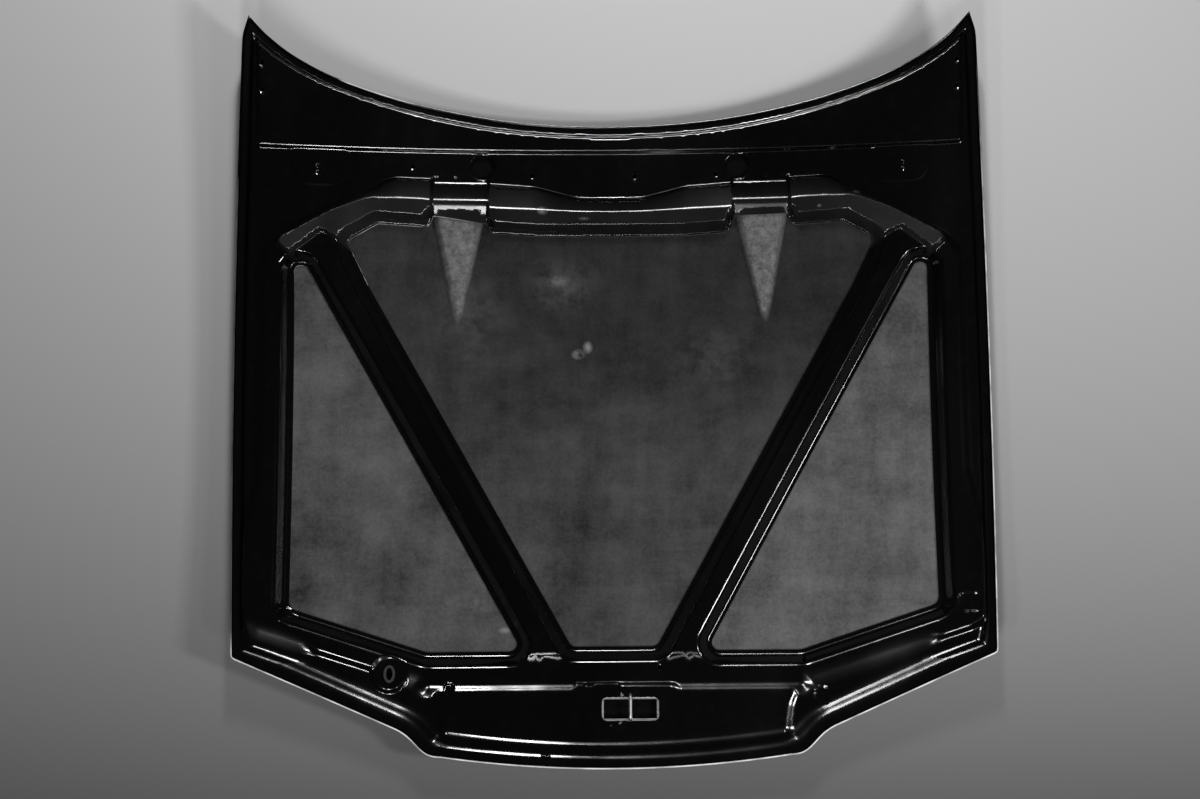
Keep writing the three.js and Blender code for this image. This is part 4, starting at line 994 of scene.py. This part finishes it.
def makeLaminate():
    # the attribute of lightness and painted shade times a mottle of clouds, streaks both ways and the cloth's
    # weave
    s = Shader("bareLaminate")
    cloud = s.noise(4.5, 6.0, rough=0.6)
    patch = s.noise(14, 5.0, rough=0.62, at=(3.1, 1.7, 0))
    streak = s.noise(26, 4.0, stretch=(1, 0.16, 1), rough=0.6)
    strip = s.noise(24, 4.0, stretch=(0.14, 1, 1), rough=0.6, at=(0, 5.3, 0))
    grain = s.noise(150, 3.0, rough=0.7)
    weave = s.band(95, "X", 0.6) * s.band(95, "Y", 0.6)
    mottle = cloud * 0.34 + patch * 0.24 + streak * 0.14 + strip * 0.12 + grain * 0.16
    mottle = s.level(mottle, 0.36, 0.64) * 0.88 + weave * 0.12
    toneAndShade = s.attribute("toneAndShade") * (1 - laminate["contrast"] / 2 + mottle * laminate["contrast"])
    # a value of 0, under the frame, renders near black as painted shade
    base = s.blend(toneAndShade / laminate["full"], grey(0.002), grey(laminate["full"]))
    for x, y, rx, ry, share in laminate["stains"]:
        share = s.spot(x, y, rx, ry) * share * s.level(s.noise(30, 5.0, rough=0.65), 0.38, 0.6)
        base = s.blend(share, base, grey(laminate["stain"]))
    ridge = s.level(s.attribute("ridge"), 0.05, 0.4)
    fleck = s.level(s.noise(60, 8.0, rough=0.8), 0.35, 0.7)
    wedge = s.blend(fleck, grey(laminate["wedge"] * 0.6), grey(laminate["fleck"]))
    base = s.blend(ridge, base, wedge)
    cloth = s.bump(weave, 0.0001)
    normal = s.bump(fleck * ridge, 0.0015, under=cloth)
    return s.finish(Base_Color=base, Roughness=0.75, Normal=normal, Specular_IOR_Level=0.03)


def makeSteel():
    s = Shader("wornSteel")
    scratches = s.noise(60, 4.0, stretch=(1, 8, 1))
    base = s.blend(scratches, (0.32, 0.32, 0.31, 1), (0.55, 0.55, 0.54, 1))
    return s.finish(Base_Color=base, Roughness=0.28 + scratches * 0.2, Metallic=1.0)


def makeRubber():
    s = Shader("blackRubber")
    dust = s.noise(160, 4.0)
    base = s.blend(dust, grey(0.003), grey(0.009))
    return s.finish(Base_Color=base, Roughness=0.38 + dust * 0.15, Normal=s.bump(dust, 0.00003))


innerFrame = buildFrame()
outerSkin = buildSkin()
innerFrame.data.materials.append(makeLacquer())
steel, rubber = makeSteel(), makeRubber()
for name in ("latch_striker", "latch_plate", "hinge_plate_left", "hinge_plate_right"):
    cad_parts[name].data.materials.clear()
    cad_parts[name].data.materials.append(steel)
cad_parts["prop_rod_grommet"].data.materials.clear()
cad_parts["prop_rod_grommet"].data.materials.append(rubber)
print("materials done")

# Floor, lamps and world.

studio = {"floorRear": 0.54, "floorFront": 0.075, "fadeY": (-0.80, 0.85), "world": 0.025,
          "lamps": [  # strips that point at the panel: name, place, aim, width across, length along, watts
              ("strutStrip", (1.75, -0.78, 2.3), (0.25, -0.30, 0), 0.34, 0.55, 42),
              ("cornerStrip", (0.97, -1.80, 2.3), (0.65, -0.45, 0), 0.10, 0.60, 10),
              ("railStrip", (-0.78, -1.74, 2.4), (-0.48, -0.47, 0), 0.12, 0.50, 13),
              ("shelfStrip", (-0.17, -1.55, 2.35), (-0.30, 0.40, 0), 0.16, 0.70, 24),
              ("beamStrip", (-0.045, 1.90, 2.35), (-0.15, 0.30, 0), 0.12, 0.60, 26),
              ("hemStrip", (0.10, 2.00, 2.35), (-0.25, 0.50, 0), 0.07, 0.50, 12)]}


def makeStudio():
    size = 30.0
    mesh = bpy.data.meshes.new("floor")
    corners = [(-size, -size, 0), (size, -size, 0), (size, size, 0), (-size, size, 0)]
    mesh.from_pydata(corners, [], [(0, 1, 2, 3)])
    floor = bpy.data.objects.new("floor", mesh)
    bpy.context.scene.collection.objects.link(floor)
    s = Shader("floorWithPaintedShade")
    # the floor darkens from the pale rear towards the front: painted shade
    y = s.node("ShaderNodeSeparateXYZ", {}, {0: s.place}, "Y")
    base = s.blend(s.level(y, *studio["fadeY"]), grey(studio["floorFront"]), grey(studio["floorRear"]))
    mesh.materials.append(s.finish(Base_Color=base, Roughness=0.9))
    for name, place, aim, width, height, watts in studio["lamps"]:
        data = bpy.data.lights.new(name, "AREA")
        data.shape, data.size, data.size_y, data.energy = "RECTANGLE", width, height, watts
        lamp = bpy.data.objects.new(name, data)
        direction = unit(np.array(place, float) - aim)
        across = unit(np.cross([0, 0, 1], direction))
        upward = np.cross(direction, across)
        turn = Matrix(np.column_stack([across, upward, direction]).tolist()).to_4x4()
        lamp.matrix_world = Matrix.Translation(place) @ turn
        bpy.context.scene.collection.objects.link(lamp)
    world = bpy.data.worlds.new("studioWorld")
    bpy.context.scene.world = world
    world.use_nodes = True
    background = world.node_tree.nodes["Background"]
    background.inputs["Color"].default_value = grey(studio["world"])
    background.inputs["Strength"].default_value = 1.0


makeStudio()
scene = bpy.context.scene
scene.view_settings.view_transform = "Standard"
bpy.context.view_layer.update()
